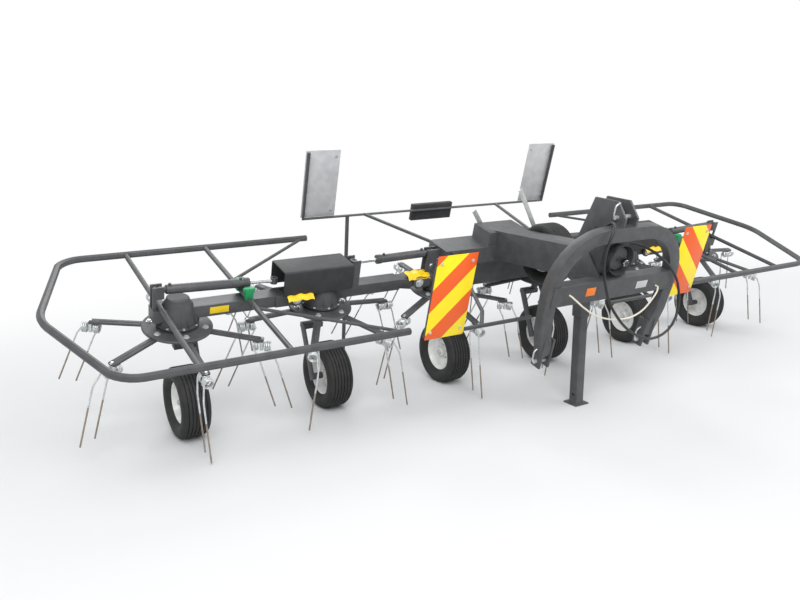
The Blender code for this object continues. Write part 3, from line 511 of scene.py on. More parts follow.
class Workshop:
    """Turns shapes into finished pieces that ride on the frame's bodies."""

    def __init__(self) -> None:
        """Makes the collection that the new pieces go into."""
        self.collection = bpy.data.collections.new("hay_tedder_details")
        bpy.context.scene.collection.children.link(self.collection)

    def piece(
        self,
        name: str,
        shape: bmesh.types.BMesh,
        finish: Finish,
        body: str,
        place: Matrix = Matrix.Identity(4),
        stands_for: Sequence[str] = (),
        crease: float = 32.0,
    ) -> bpy.types.Object:
        """Makes one named object out of a shape.

        Args:
            name: of the piece.
            shape: its bmesh, which is freed.
            finish: what its surface is.
            body: the body that carries it.
            place: where it goes, baked into its mesh.
            stands_for: frame nodes that it replaces.
            crease: angle past which an edge stays sharp, in degrees.

        Returns:
            The finished object.
        """
        mesh = bpy.data.meshes.new(name)
        bmesh.ops.transform(shape, matrix=place, verts=shape.verts)
        shape.to_mesh(mesh)
        shape.free()
        mesh.shade_smooth()
        mesh.set_sharp_from_angle(angle=math.radians(crease))
        mesh.materials.append(finish.material())
        obj = bpy.data.objects.new(name, mesh)
        self.collection.objects.link(obj)
        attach(obj, body)
        if stands_for:
            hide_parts(*stands_for)
        LOG.info("%s: %d faces on %s", name, len(mesh.polygons), body)
        return obj


# --- Wheels --------------------------------------------------------------------
@dataclass(frozen=True)
class Wheel:
    """A ribbed implement tyre on a dished disc wheel."""

    radius: float = 0.2025
    width: float = 0.165
    rim_radius: float = 0.117
    groove: float = 0.006
    hub_radius: float = 0.030

    def tyre(self) -> bmesh.types.BMesh:
        """Tyre with five running ribs, rounded shoulders and a bead, about X."""
        half, crown = self.width / 2, self.radius
        outer = [
            (self.rim_radius + 0.001, half * 0.62), (self.rim_radius + 0.010, half * 0.74),
            (crown * 0.70, half * 0.93), (crown * 0.78, half * 0.99), (crown * 0.86, half * 0.985),
            (crown * 0.925, half * 0.93), (crown * 0.965, half * 0.84), (crown * 0.988, half * 0.72),
        ]
        ribs, groove_top, groove_floor = [], 0.035, 0.02
        for edge in (0.62, 0.36, 0.12):
            ribs += [
                (crown, half * (edge + groove_top)), (crown - self.groove, half * (edge + groove_floor)),
                (crown - self.groove, half * (edge - groove_floor)), (crown, half * (edge - groove_top)),
            ]
        half_profile = outer + ribs
        mirrored = [(r, -z) for r, z in reversed(half_profile)]
        shape = lathe(half_profile + mirrored, 72)
        bmesh.ops.transform(shape, matrix=ALONG_X, verts=shape.verts)
        return shape

    def disc(self) -> bmesh.types.BMesh:
        """Pressed disc: rim flanges, drop centre, dish and hub boss, about X."""
        half = self.width / 2 * 0.62
        rim, hub = self.rim_radius, self.hub_radius
        profile = [
            (0.0130, 0.040), (hub * 0.80, 0.040), (hub, 0.034), (hub, 0.010),
            (hub * 1.5, 0.0065), (rim * 0.52, 0.014), (rim * 0.66, 0.020), (rim * 0.80, 0.016),
            (rim * 0.86, 0.018), (rim * 0.87, half * 0.55), (rim * 0.93, half * 0.80),
            (rim * 0.955, half * 0.97), (rim, half), (rim * 0.985, half * 0.90), (rim * 0.96, 0.0),
            (rim * 0.985, -half * 0.90), (rim, -half), (rim * 0.955, -half * 0.97),
            (rim * 0.93, -half * 0.80), (rim * 0.86, -half * 0.55), (rim * 0.84, 0.010),
            (rim * 0.66, 0.014), (rim * 0.52, 0.008), (hub * 1.5, 0.0005), (hub, -0.004),
            (hub, -0.040), (0.0130, -0.040),
        ]
        shape = lathe(profile, 64)
        bmesh.ops.transform(shape, matrix=ALONG_X, verts=shape.verts)
        return shape

    def hardware(self) -> bmesh.types.BMesh:
        """Ring of wheel bolts, axle nut and valve, on the disc's open side."""
        shapes = []
        for i in range(5):
            turn = Matrix.Rotation(math.tau * i / 5, 4, "X")
            seat = turn @ Matrix.Translation((0.0085, 0, 0.046)) @ ALONG_X
            shapes.append(bolt(0.0075, 0.008, seat))
        shapes.append(bolt(0.0150, 0.014, Matrix.Translation((0.038, 0, 0)) @ ALONG_X))
        valve = eased([(0.016, 0, 0.088), (0.034, 0, 0.086), (0.042, 0, 0.080)], 0.008)
        shapes.append(sweep(valve, 0.0035, 8))
        return joined(shapes)

    def fit(self, shop: Workshop, label: str, body: str, hub: Vector, faces: int) -> None:
        """Builds one wheel at its hub, its disc facing the +X or -X side."""
        turn = Matrix.Rotation(math.pi if faces < 0 else 0.0, 4, "Z")
        place = Matrix.Translation(hub) @ turn
        crease = 40.0
        shop.piece(f"{label}_ribbed_tyre", self.tyre(), TYRE_RUBBER, body, place, [f"{label}_tyre"], crease)
        shop.piece(f"{label}_disc_wheel", self.disc(), ENAMEL_WHITE, body, place, [f"{label}_rim"], crease)
        shop.piece(f"{label}_wheel_bolts", self.hardware(), ZINC, body, place)


# --- Rotors --------------------------------------------------------------------
@dataclass(frozen=True)
class Rotor:
    """A dish with six drooping arms, each ending in a pair of wound spring tines."""

    arms: int = 6
    dish_radius: float = 0.193
    arm_root: float = 0.085
    arm_width: float = 0.044
    arm_thickness: float = 0.015
    coil_radius: float = 0.0305
    coil_centre: float = 0.470
    coil_pitch: float = 0.064
    coil_length: float = 0.042
    coil_drop: float = 0.085
    wire: float = 0.0048

    def turns(self) -> list[Matrix]:
        """The places of the arms round the dish."""
        return [Matrix.Rotation(math.tau * i / self.arms, 4, "Z") for i in range(self.arms)]

    def dish(self) -> bmesh.types.BMesh:
        """Pressed dish with a turned-down rim and its hub, with the arms on it."""
        edge = self.dish_radius
        profile = [
            (0.026, 0.0), (edge * 0.55, -0.001), (edge * 0.70, -0.004), (edge * 0.90, -0.006),
            (edge * 0.98, -0.009), (edge, -0.014), (edge * 0.995, -0.022), (edge * 0.965, -0.022),
            (edge * 0.94, -0.014), (edge * 0.70, -0.014), (0.066, -0.012), (0.060, -0.026),
            (0.054, -0.052), (0.026, -0.052),
        ]
        end_z = -self.coil_drop + self.coil_radius + self.arm_thickness / 2
        start, end = Vector((self.arm_root, 0, -0.021)), Vector((self.coil_centre + 0.008, 0, end_z))
        middle = (start + end) / 2
        slope = math.atan2(start.z - end.z, end.x - start.x)
        size = ((end - start).length, self.arm_width, self.arm_thickness)
        arm = block(size, Matrix.Translation(middle) @ Matrix.Rotation(slope, 4, "Y"), 0.003)
        rib_place = Matrix.Translation(middle + Vector((0, 0, 0.006))) @ Matrix.Rotation(slope, 4, "Y")
        rib = block((size[0] * 0.72, 0.010, 0.008), rib_place, 0.003)
        return joined([lathe(profile, 64), joined([arm, rib], self.turns())])

    def coils(self) -> bmesh.types.BMesh:
        """The two windings of each tine pair, with the bolt that clamps them."""
        shapes = []
        for sign in (-1, 1):
            winding = helix(
                self.coil_radius - self.wire, self.wire, self.coil_length - 2 * self.wire, 3.25, 0.0
            )
            centre = (self.coil_centre + sign * self.coil_pitch / 2, 0, -self.coil_drop)
            bmesh.ops.translate(winding, vec=centre, verts=winding.verts)
            shapes.append(winding)
        clamp = Matrix.Translation((self.coil_centre, 0, -self.coil_drop + 0.004))
        shapes.append(block((0.018, 0.034, 0.054), clamp, 0.003))
        head = Matrix.Translation((self.coil_centre, 0, -self.coil_drop + self.coil_radius + 0.012))
        shapes.append(bolt(0.0085, 0.009, head))
        return joined(shapes, self.turns())

    def fingers(self, hand: int, tip: bool) -> bmesh.types.BMesh:
        """The straight legs of the tines; tip picks their worn lower ends."""
        shapes = []
        reach = self.coil_pitch / 2 + self.coil_length / 2 - self.wire
        for sign in (-1, 1):
            start_y = -hand * (self.coil_radius - self.wire)
            start = Vector((self.coil_centre + sign * reach, start_y, -self.coil_drop))
            elbow = Vector((start.x + 0.045, -hand * 0.041, start.z - 0.070))
            end = elbow + Vector((0.107, hand * 0.015, -0.308))
            change = elbow.lerp(end, 0.34)
            if tip:
                shapes.append(sweep([change, end], self.wire * 0.98, 8))
            else:
                shapes.append(sweep(eased([start, elbow, change], 0.020), self.wire, 8))
        return joined(shapes, self.turns())

    def rim_bolts(self) -> bmesh.types.BMesh:
        """Bolt heads that hold the arms, near the dish's edge."""
        place = Matrix.Translation((self.dish_radius * 0.80, 0, -0.006))
        return joined([bolt(0.012, 0.011, place)], self.turns())

    def fit(self, shop: Workshop, label: str, body: str, place: Matrix, hand: int) -> None:
        """Builds one rotor's pieces at its hub."""
        node = [f"{label}_rotor"]
        shop.piece(f"{label}_dish_and_arms", self.dish(), POWDER_COAT, body, place, node)
        shop.piece(f"{label}_tine_coils", self.coils(), ZINC, body, place, (), 60)
        shop.piece(f"{label}_tine_legs", self.fingers(hand, False), ZINC, body, place, (), 60)
        shop.piece(f"{label}_tine_tips", self.fingers(hand, True), SPRING_STEEL, body, place, (), 60)
        shop.piece(f"{label}_arm_bolts", self.rim_bolts(), ZINC, body, place)


@dataclass(frozen=True)
class GearHousing:
    """Ribbed bell casting over each rotor, with its bolted lid."""

    foot_radius: float = 0.117
    top_radius: float = 0.062
    foot: float = 0.0065
    top: float = 0.164
    ribs: int = 12

    def bell(self) -> bmesh.types.BMesh:
        """The bell with its ribs and flange."""
        base = self.foot_radius
        profile = [
            (0, self.top), (self.top_radius * 0.90, self.top), (self.top_radius, self.top - 0.004),
            (self.top_radius + 0.004, self.top - 0.018), (self.top_radius + 0.020, self.top - 0.040),
            (base * 0.80, 0.085), (base * 0.90, 0.045), (base * 0.93, 0.022), (base, 0.018),
            (base, self.foot), (0, self.foot),
        ]
        turns = [Matrix.Rotation(math.tau * (i + 0.5) / self.ribs, 4, "Z") for i in range(self.ribs)]
        lean = Matrix.Translation((0.090, 0, 0.072)) @ Matrix.Rotation(-0.36, 4, "Y")
        rib = block((0.020, 0.007, 0.108), lean, 0.002)
        return joined([lathe(profile, 56), joined([rib], turns)])

    def lid_bolts(self) -> bmesh.types.BMesh:
        """Heads round the foot flange."""
        turns = [Matrix.Rotation(math.tau * i / 8, 4, "Z") for i in range(8)]
        place = Matrix.Translation((self.foot_radius * 0.955, 0, 0.018))
        return joined([bolt(0.0065, 0.007, place)], turns)

    def fit(self, shop: Workshop, label: str, body: str, place: Matrix) -> None:
        """Builds one housing over its rotor."""
        node = [f"{label}_gear_housing"]
        shop.piece(f"{label}_bell_casting", self.bell(), CAST_IRON_PAINTED, body, place, node)
        shop.piece(f"{label}_flange_bolts", self.lid_bolts(), ZINC, body, place)


# --- Wings ---------------------------------------------------------------------
@dataclass(frozen=True)
class FoldHinge:
    """Pin heads and the moulded yellow shield over a fold hinge."""

    x: float
    label: str
    shield_y: float = -0.022
    pin_radius: float = 0.020
    pin_reach: float = 0.067

    def pins(self) -> bmesh.types.BMesh:
        """Pin head in front and castle nut behind."""
        front = Matrix.Translation((0, -self.pin_reach + 0.006, 0)) @ Matrix.Rotation(math.pi / 2, 4, "X")
        back = Matrix.Translation((0, self.pin_reach - 0.006, 0)) @ Matrix.Rotation(-math.pi / 2, 4, "X")
        return joined([bolt(self.pin_radius, 0.014, front), bolt(self.pin_radius, 0.014, back)])

    def shield(self) -> bmesh.types.BMesh:
        """Crowned shield that bends down over the front of the hinge."""
        bm = bmesh.new()
        bmesh.ops.create_grid(bm, x_segments=24, y_segments=8, size=0.5)
        bmesh.ops.scale(bm, vec=(0.165, 0.080, 1), verts=bm.verts)
        for vert in bm.verts:
            forward = max(0.0, -vert.co.y - 0.005) / 0.035
            wave = 0.004 * math.cos(math.tau * vert.co.x / 0.067)
            vert.co.z = 0.006 - 0.026 * forward**2 - 1.1 * vert.co.x**2 + wave
        bmesh.ops.recalc_face_normals(bm, faces=bm.faces)
        bmesh.ops.solidify(bm, geom=bm.faces[:], thickness=0.004)
        bmesh.ops.recalc_face_normals(bm, faces=bm.faces)
        return bm

    def fit(self, shop: Workshop, side: Side, body: str) -> None:
        """Builds both on the body that carries the hinge."""
        place = Row.at(side.value * self.x, 0, BEAM_MID)
        above = Row.at(side.value * self.x, self.shield_y, BEAM_MID + 0.050)
        shop.piece(f"{side.label}_{self.label}_pin", self.pins(), ZINC, body, place)
        shop.piece(f"{side.label}_{self.label}_shield", self.shield(), SIGNAL_YELLOW, body, above)


@dataclass(frozen=True)
class Ram:
    """Hydraulic cylinder: painted barrel with gland and ports, and a chromed rod."""

    radius: float = 0.026
    rod_radius: float = 0.012
    eye_radius: float = 0.022
    eye_length: float = 0.036

    def barrel(self, barrel_end: float, reach: float) -> bmesh.types.BMesh:
        """Barrel, end caps, ports and both eyes, from the origin along Z."""
        r = self.radius
        profile = [
            (0, 0.020), (0.016, 0.020), (0.017, 0.044), (r * 0.95, 0.045), (r, 0.050),
            (r, barrel_end - 0.034), (r + 0.003, barrel_end - 0.031), (r + 0.003, barrel_end - 0.020),
            (r + 0.001, barrel_end - 0.018), (r + 0.003, barrel_end - 0.016),
            (r + 0.003, barrel_end - 0.003), (r, barrel_end), (0, barrel_end),
        ]
        shapes = [lathe(profile, 36)]
        for height in (0.066, barrel_end - 0.052):
            place = Matrix.Translation((0, -r + 0.003, height)) @ Matrix.Rotation(math.pi / 2, 4, "X")
            shapes.append(bolt(0.009, 0.013, place))
        for height in (0.0, reach):
            eye = lathe(
                [(0.010, -self.eye_length / 2), (self.eye_radius, -self.eye_length / 2),
                 (self.eye_radius, self.eye_length / 2), (0.010, self.eye_length / 2)], 28
            )
            bmesh.ops.transform(eye, matrix=Matrix.Translation((0, 0, height)) @ ALONG_Y, verts=eye.verts)
            shapes.append(eye)
        return joined(shapes)

    def rod(self, barrel_end: float, reach: float) -> bmesh.types.BMesh:
        """The bright rod between gland and eye."""
        r = self.rod_radius
        low, high = barrel_end - 0.004, reach - self.eye_radius + 0.004
        profile = [
            (0, low), (r, low), (r, high - 0.03), (r * 1.15, high - 0.028), (r * 1.15, high), (0, high),
        ]
        return lathe(profile, 24)

    def fit(
        self, shop: Workshop, label: str, body: str, start: Vector, end: Vector, barrel_end: float
    ) -> None:
        """Builds the cylinder between two eyes given in the leaning frame."""
        reach = (end - start).length
        aimed = framed(start, end - start, Vector((0, 0, 1)))
        place = Row.place @ aimed @ Matrix.Rotation(math.pi / 2, 4, "Z")
        node = [f"{label}_cylinder"]
        shop.piece(f"{label}_ram_barrel", self.barrel(barrel_end, reach), POWDER_COAT, body, place, node)
        shop.piece(f"{label}_ram_rod", self.rod(barrel_end, reach), CHROME, body, place)


class WingFittings:
    """Small fittings along each wing: hose clips and blank labels."""

    clip_x = (1.818, 1.818)

    def clips(self, side: Side) -> bmesh.types.BMesh:
        """Two moulded clips that hold the pipes on the beam."""
        shapes = []
        for x, y in zip(self.clip_x, (0.065, -0.065)):
            place = Row.at(side.value * x, y, 0.164)
            shapes.append(block((0.050, 0.040, 0.074), place, 0.007))
            shapes.append(block((0.068, 0.024, 0.026), place @ Matrix.Translation((0, 0, 0.022)), 0.006))
        return joined(shapes)

    def label(self, side: Side) -> bmesh.types.BMesh:
        """A blank film label on the front of the outer beam."""
        return block((0.110, 0.0010, 0.040), Row.at(side.value * 1.98, -0.0506, BEAM_MID), 0.0003)

    def fit(self, shop: Workshop, side: Side) -> None:
        """Builds them on the outer wing."""
        body = wing_body(side, 2)
        shop.piece(f"{side.label}_hose_clips", self.clips(side), CLAMP_GREEN, body)
        shop.piece(f"{side.label}_beam_label", self.label(side), LABEL_BLANK, body)


# --- Cords ---------------------------------------------------------------------
@dataclass(frozen=True)
class Cord:
    """A free cord by its route's own points in the leaning frame."""

    name: str
    node: str
    finish: Finish
    radius: float
    count: int
    route: tuple[tuple[float, float, float], ...]

    def points(self) -> list[Vector]:
        """Points on a smooth curve through the route, evenly spaced between straight ends."""
        knots = [Vector(knot) for knot in self.route]
        fine = []
        for p0, p1, p2, p3 in zip(knots, knots[1:], knots[2:], knots[3:]):
            for t in (step / 16 for step in range(16)):
                bend = (p0 * 2 - p1 * 5 + p2 * 4 - p3) * t * t + (p1 * 3 - p0 - p2 * 3 + p3) * t**3
                fine.append((p1 * 2 + (p2 - p0) * t + bend) / 2)
        fine.append(knots[-2])
        walked = [0.0]
        for before, after in zip(fine, fine[1:]):
            walked.append(walked[-1] + (after - before).length)
        points, at_step = [knots[0]], 0
        for i in range(self.count - 2):
            goal = walked[-1] * i / (self.count - 3)
            while at_step < len(fine) - 2 and walked[at_step + 1] < goal:
                at_step += 1
            share = (goal - walked[at_step]) / (walked[at_step + 1] - walked[at_step])
            points.append(fine[at_step].lerp(fine[at_step + 1], share))
        return points + [knots[-1]]

    def fit(self, shop: Workshop) -> None:
        line = [Row.place @ point for point in self.points()]
        shape = sweep(line, self.radius, 16)
        obj = shop.piece(self.name, shape, self.finish, "centre", stands_for=[self.node], crease=60)


CORDS = (
    Cord("hydraulic_hose_line", "hydraulic_hose", HOSE_RUBBER, 0.008, 42, (
        (-0.078, -0.935, 0.7103), (-0.078, -0.935, 0.748), (-0.090, -0.965, 0.800),
        (-0.118, -1.015, 0.836), (-0.143, -1.062, 0.838), (-0.172, -1.086, 0.806),
        (-0.190, -1.093, 0.765), (-0.205, -1.100, 0.705), (-0.207, -1.115, 0.615),
        (-0.175, -1.131, 0.515), (-0.124, -1.148, 0.410), (-0.055, -1.162, 0.325),
        (0.041, -1.179, 0.236), (0.170, -1.188, 0.162), (0.298, -1.187, 0.123),
        (0.438, -1.170, 0.136), (0.532, -1.140, 0.195), (0.568, -1.102, 0.297),
        (0.522, -1.084, 0.422), (0.425, -1.084, 0.522), (0.346, -1.047, 0.589),
        (0.250, -0.985, 0.642), (0.140, -0.935, 0.660), (0.1003, -0.935, 0.660),
    )),
    Cord("braided_pull_rope", "pull_rope", BRAIDED_ROPE, 0.005, 32, (
        (-0.364, -1.0653, 0.445), (-0.364, -1.088, 0.445), (-0.325, -1.105, 0.414),
        (-0.275, -1.112, 0.378), (-0.177, -1.118, 0.320), (-0.049, -1.122, 0.276),
        (0.072, -1.120, 0.258), (0.160, -1.117, 0.262), (0.239, -1.112, 0.291),
        (0.297, -1.108, 0.352), (0.332, -1.100, 0.398), (0.345, -1.086, 0.416),
        (0.345, -1.0653, 0.416),
    )),
)


# --- Panels, lamps and headstock -------------------------------------------------
class Panels:
    """Bolts of the marker panels."""

    def bolts(self, low: Vector, high: Vector) -> bmesh.types.BMesh:
        """Four heads near a panel's corners, standing proud of its front face."""
        shapes = []
        for x in (low.x + 0.030, high.x - 0.030):
            for z in (low.z + 0.045, high.z - 0.045):
                place = Matrix.Translation((x, low.y, z)) @ Matrix.Rotation(math.pi / 2, 4, "X")
                shapes.append(bolt(0.007, 0.006, place))
        return joined(shapes)

    def local_box(self, node: str) -> tuple[Vector, Vector]:
        """A node's lowest and highest corner in the leaning frame."""
        inverse = Row.place.inverted()
        points = [inverse @ v.co for v in bpy.data.objects[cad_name(node)].data.vertices]
        low = Vector([min(p[i] for p in points) for i in range(3)])
        high = Vector([max(p[i] for p in points) for i in range(3)])
        return low, high

    def fit(self, shop: Workshop, side: Side) -> None:
        """Builds the bolts of one side's panels."""
        for label in ("front_marker_panel", "rear_marker_panel"):
            low, high = self.local_box(f"{side.label}_{label}")
            shape = self.bolts(low, high)
            shop.piece(f"{side.label}_{label}_bolts", shape, ZINC, "centre", Row.place)


class HeadstockFittings:
    """Shaft stub and guard, hitch pins, blank plate and labels, and the leaning bars."""

    def guard(self) -> bmesh.types.BMesh:
        """Open cone round the shaft stub, its mouth to the front."""
        profile = [
            (0.0705, 0.0), (0.080, 0.004), (0.084, 0.030), (0.092, 0.062), (0.088, 0.062),
            (0.080, 0.032), (0.0705, 0.006),
        ]
        return lathe(profile, 48)

    def stub(self) -> bmesh.types.BMesh:
        """Splined shaft end: a core with ribs along it."""
        core = lathe([(0, 0.030), (0.0178, 0.030), (0.0178, 0.098), (0.0160, 0.100), (0, 0.100)], 36)
        rib = block((0.0050, 0.0055, 0.044), Matrix.Translation((0.0180, 0, 0.076)), 0.001)
        turns = [Matrix.Rotation(math.tau * i / 6, 4, "Z") for i in range(6)]
        return joined([core, joined([rib], turns)])

    def pins(self) -> bmesh.types.BMesh:
        """Hitch pins across the clevises and the mast, with their bent handles."""
        shapes = []
        for x, y, z, half in ((-0.420, -1.030, 0.020, 0.056), (0.420, -1.030, 0.020, 0.056),
                              (0.0, -0.985, 0.850, 0.076)):
            pin = lathe([(0, -half), (0.0125, -half), (0.0125, half), (0, half)], 28)
            bmesh.ops.transform(pin, matrix=Row.at(x, y, z) @ ALONG_X, verts=pin.verts)
            handle = [(x - half + 0.004, y, z), (x - half - 0.012, y, z + 0.004),
                      (x - half - 0.016, y, z + 0.070), (x - half + 0.014, y, z + 0.086)]
            bent = sweep(eased(handle, 0.014), 0.0045, 10)
            bmesh.ops.transform(bent, matrix=Row.place, verts=bent.verts)
            shapes += [pin, bent]
        return joined(shapes)

    def leaning_bars(self) -> bmesh.types.BMesh:
        """Two flat bars that lean across the back of the centre box."""
        shapes = []
        for top, foot in (((-0.172, 0.480), (-0.002, 0.262)), ((0.198, 0.607), (0.440, 0.268))):
            start, end = Vector((top[0], 0.1037, top[1])), Vector((foot[0], 0.1037, foot[1]))
            turn = Row.place @ framed((start + end) / 2, end - start, Vector((0, 1, 0)))
            shapes.append(block((0.006, 0.034, (end - start).length), turn, 0.002))
            for share in (0.07, 0.93):
                spot = start.lerp(end, share)
                head = Row.at(*spot) @ Matrix.Rotation(-math.pi / 2, 4, "X")
                shapes.append(bolt(0.008, 0.007, head @ Matrix.Translation((0, 0, 0.003))))
        return joined(shapes)

    def fit(self, shop: Workshop) -> None:
        """Builds the fittings on the centre body."""
        gearbox_front = Row.at(0, -0.990, 0.610) @ ALONG_Y
        shop.piece("shaft_guard", self.guard(), MOULDED_BLACK, "centre", gearbox_front)
        shop.piece("splined_stub", self.stub(), CHROME, "centre", gearbox_front)
        shop.piece("hitch_pins", self.pins(), ZINC, "centre")
        shop.piece("leaning_bars", self.leaning_bars(), ZINC, "centre")
        plate = block((0.090, 0.0012, 0.045), Row.at(0.215, -1.0656, 0.440), 0.0004)
        shop.piece("blank_rating_plate", plate, PANEL_BACK, "centre")
        label = block((0.070, 0.0010, 0.050), Row.at(-0.200, -1.0656, 0.445), 0.0003)
        shop.piece("blank_orange_label", label, LABEL_ORANGE, "centre")


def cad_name(node: str) -> str:
    """Name of the object that carries a node."""
    return NODES[node].name


NODES: dict[str, bpy.types.Object] = {}


def soft_edges(obj: bpy.types.Object, width: float) -> None:
    """Merges a frame node's loose triangles, rounds its edges and smooths its faces."""
    weld = obj.modifiers.new("Weld", "WELD")
    weld.merge_threshold = 0.00005
    if width > 0:
        bevel = obj.modifiers.new("Bevel", "BEVEL")
        bevel.width = width
        bevel.segments = 2
        bevel.limit_method = "ANGLE"
        bevel.angle_limit = math.radians(40)
        bevel.harden_normals = False
    smooth = obj.modifiers.new("Smooth", "NODES")
    smooth.node_group = smoothing_group()


def smoothing_group() -> bpy.types.NodeTree:
    """Geometry nodes that shade faces smooth and keep edges past 35 degrees sharp."""
    known = bpy.data.node_groups.get("smooth_by_angle")
    if known:
        return known
    tree = bpy.data.node_groups.new("smooth_by_angle", "GeometryNodeTree")
    tree.interface.new_socket("Geometry", in_out="INPUT", socket_type="NodeSocketGeometry")
    tree.interface.new_socket("Geometry", in_out="OUTPUT", socket_type="NodeSocketGeometry")
    source = add_node(tree, "NodeGroupInput")
    faces = add_node(
        tree, "GeometryNodeSetShadeSmooth", {"domain": "FACE"}, {"Shade Smooth": True},
        {"Geometry": source.outputs[0]},
    )
    angle = add_node(tree, "GeometryNodeInputMeshEdgeAngle")
    sharp = add_node(
        tree, "FunctionNodeCompare", {"operation": "GREATER_THAN"}, {1: math.radians(35)},
        {0: angle.outputs["Unsigned Angle"]},
    )
    edges = add_node(
        tree, "GeometryNodeSetShadeSmooth", {"domain": "EDGE"}, {"Shade Smooth": False},
        {"Geometry": faces.outputs[0], "Selection": sharp.outputs[0]},
    )
    add_node(tree, "NodeGroupOutput", links={0: edges.outputs[0]})
    return tree


def dress_nodes(record: dict) -> None:
    """Gives each frame node that stays its finish and softened edges."""
    slots = {part["node"]: part["material_slot"] for part in record["subparts"]}
    special = {
        "left_front_marker_panel": LEFT_STRIPES,
        "right_front_marker_panel": RIGHT_STRIPES,
        "main_gearbox": CAST_IRON_PAINTED,
    }
    for name, obj in NODES.items():
        if obj.hide_render:
            continue
        finish = special.get(name, NODE_FINISHES[slots[name]])
        if not obj.material_slots:
            obj.data.materials.append(finish.material())
        for material_slot in obj.material_slots:
            material_slot.material = finish.material()
        round_piece = any(word in name for word in ("hoop", "guard", "lamp_bar"))
        soft_edges(obj, 0.0 if round_piece else 0.0015)


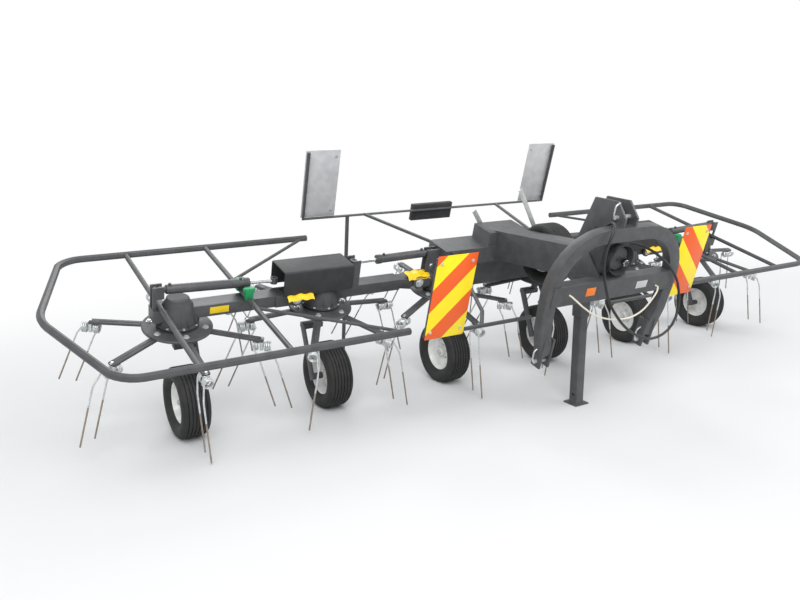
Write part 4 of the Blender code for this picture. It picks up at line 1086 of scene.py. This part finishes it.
# --- Studio ----------------------------------------------------------------------
class Studio:
    """Camera, soft light and a pale floor."""

    position = (-3.429, -4.0121, 1.788)
    yaw = 0.565
    pitch = -0.237
    lens = 35.73

    def camera(self) -> None:
        """Stands the camera ahead of the left wing, looking over the machine."""
        data = bpy.data.cameras.new("camera")
        data.lens = self.lens
        data.sensor_width = 36.0
        data.clip_end = 200.0
        obj = bpy.data.objects.new("camera", data)
        obj.location = self.position
        obj.rotation_euler = (math.pi / 2 + self.pitch, 0, -self.yaw)
        bpy.context.scene.collection.objects.link(obj)
        bpy.context.scene.camera = obj

    def lights(self) -> None:
        """One broad key, one fill from the other side and one behind."""
        for name, place, energy, size in (
            ("key", (-3.5, -4.5, 6.0), 420.0, 5.0),
            ("fill", (5.0, -3.5, 5.0), 220.0, 5.0),
            ("back", (0.5, 5.0, 6.0), 260.0, 5.0),
        ):
            data = bpy.data.lights.new(name, "AREA")
            data.energy = energy
            data.size = size
            obj = bpy.data.objects.new(name, data)
            obj.location = place
            obj.rotation_euler = (-Vector(place)).to_track_quat("-Z", "Y").to_euler()
            bpy.context.scene.collection.objects.link(obj)

    def world(self) -> None:
        """Pale surroundings, white where the camera sees them."""
        world = bpy.data.worlds.new("studio")
        world.use_nodes = True
        bpy.context.scene.world = world
        tree = world.node_tree
        tree.nodes.clear()
        path = add_node(tree, "ShaderNodeLightPath")
        seen = add_node(
            tree, "ShaderNodeMath", {"operation": "MAXIMUM"},
            links={0: path.outputs["Is Camera Ray"], 1: path.outputs["Is Glossy Ray"]},
        )
        soft = add_node(tree, "ShaderNodeBackground", values={0: linear("#f4f6f8"), 1: 0.62})
        white = add_node(tree, "ShaderNodeBackground", values={0: (1, 1, 1, 1), 1: 1.0})
        mix = add_node(
            tree, "ShaderNodeMixShader",
            links={0: seen.outputs[0], 1: soft.outputs[0], 2: white.outputs[0]},
        )
        add_node(tree, "ShaderNodeOutputWorld", links={0: mix.outputs[0]})

    def floor(self) -> None:
        """A pale floor that keeps the machine's soft shadow."""
        bm = bmesh.new()
        bmesh.ops.create_grid(bm, x_segments=1, y_segments=1, size=60.0)
        mesh = bpy.data.meshes.new("floor")
        bm.to_mesh(mesh)
        bm.free()
        material = bpy.data.materials.new("matt_paper")
        material.use_nodes = True
        tree = material.node_tree
        shader = tree.nodes["Principled BSDF"]
        shader.inputs["Base Color"].default_value = linear("#d6d7d8")
        shader.inputs["Roughness"].default_value = 0.9
        shader.inputs["Specular IOR Level"].default_value = 0.1
        point = add_node(tree, "ShaderNodeTexCoord").outputs["Object"]
        stretched = add_node(
            tree, "ShaderNodeVectorMath", {"operation": "MULTIPLY"}, {1: (0.62, 1.0, 0.0)}, {0: point}
        )
        far = add_node(
            tree, "ShaderNodeVectorMath", {"operation": "LENGTH"}, links={0: stretched.outputs[0]}
        )
        fade = add_node(
            tree, "ShaderNodeMapRange", {"interpolation_type": "SMOOTHSTEP"}, {1: 1.9, 2: 4.2},
            {0: far.outputs["Value"]},
        )
        white = add_node(tree, "ShaderNodeEmission", values={0: (1, 1, 1, 1), 1: 1.0})
        output = next(n for n in tree.nodes if n.type == "OUTPUT_MATERIAL")
        mix = add_node(
            tree, "ShaderNodeMixShader",
            links={0: fade.outputs[0], 1: shader.outputs[0], 2: white.outputs[0]},
        )
        tree.links.new(mix.outputs[0], output.inputs[0])
        mesh.materials.append(material)
        obj = bpy.data.objects.new("floor", mesh)
        bpy.context.scene.collection.objects.link(obj)

    def build(self) -> None:
        """Sets the whole studio up."""
        bpy.context.scene.view_settings.view_transform = "Standard"
        self.camera()
        self.lights()
        self.world()
        self.floor()


def main() -> None:
    """Loads the frame, dresses it and reports every piece."""
    logging.basicConfig(level=logging.INFO, format="%(name)s: %(message)s")
    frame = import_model()
    record = frame["record"]
    NODES.update(frame["nodes"])
    Row.read(record)
    Studio().build()
    shop = Workshop()
    for cord in CORDS:
        cord.fit(shop)
    HeadstockFittings().fit(shop)
    hand = {(Side.LEFT, 2): 1, (Side.LEFT, 1): -1, (Side.LEFT, 0): 1,
            (Side.RIGHT, 0): -1, (Side.RIGHT, 1): 1, (Side.RIGHT, 2): -1}
    number = {key: i for i, key in enumerate(hand)}
    hub_height = next(
        j["pos_m"] for j in record["behaviour"]["joints"] if j["name"] == "left_outer_wheel_spin"
    )
    for side in Side:
        for index, place_name in enumerate(PLACES):
            label = f"{side.label}_{place_name}"
            x = side.value * ROTOR_X[index]
            leg_side = -side.value if index != 1 else side.value
            hub = Vector((x, hub_height[1], hub_height[2]))
            Wheel().fit(shop, label, f"{label}_wheel", hub, -leg_side)
            phase = math.radians(30.0 if number[(side, index)] % 2 == 0 else 0.0)
            turned = Row.at(x) @ Matrix.Rotation(phase, 4, "Z")
            Rotor().fit(shop, label, f"{label}_rotor_body", turned, hand[(side, index)])
            GearHousing().fit(shop, label, wing_body(side, index), Row.at(x))
        FoldHinge(INNER_HINGE_X, "inner_hinge").fit(shop, side, "centre")
        FoldHinge(OUTER_HINGE_X, "outer_hinge", -0.085).fit(shop, side, wing_body(side, 2))
        for label, body in (("outer", wing_body(side, 2)), ("inner", f"{side.label}_inner_ram")):
            start, end, barrel_end = RAM_PLACES[label]
            mirror = Vector((side.value, 1, 1))
            Ram().fit(shop, f"{side.label}_{label}", body, start * mirror, end * mirror, barrel_end)
        WingFittings().fit(shop, side)
        Panels().fit(shop, side)
    wheel = Wheel()
    low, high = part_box("spare_tyre")
    wheel.fit(shop, "spare", "centre", (Vector(low) + Vector(high)) / 2, 1)
    dress_nodes(record)


if __name__ == "__main__":
    main()
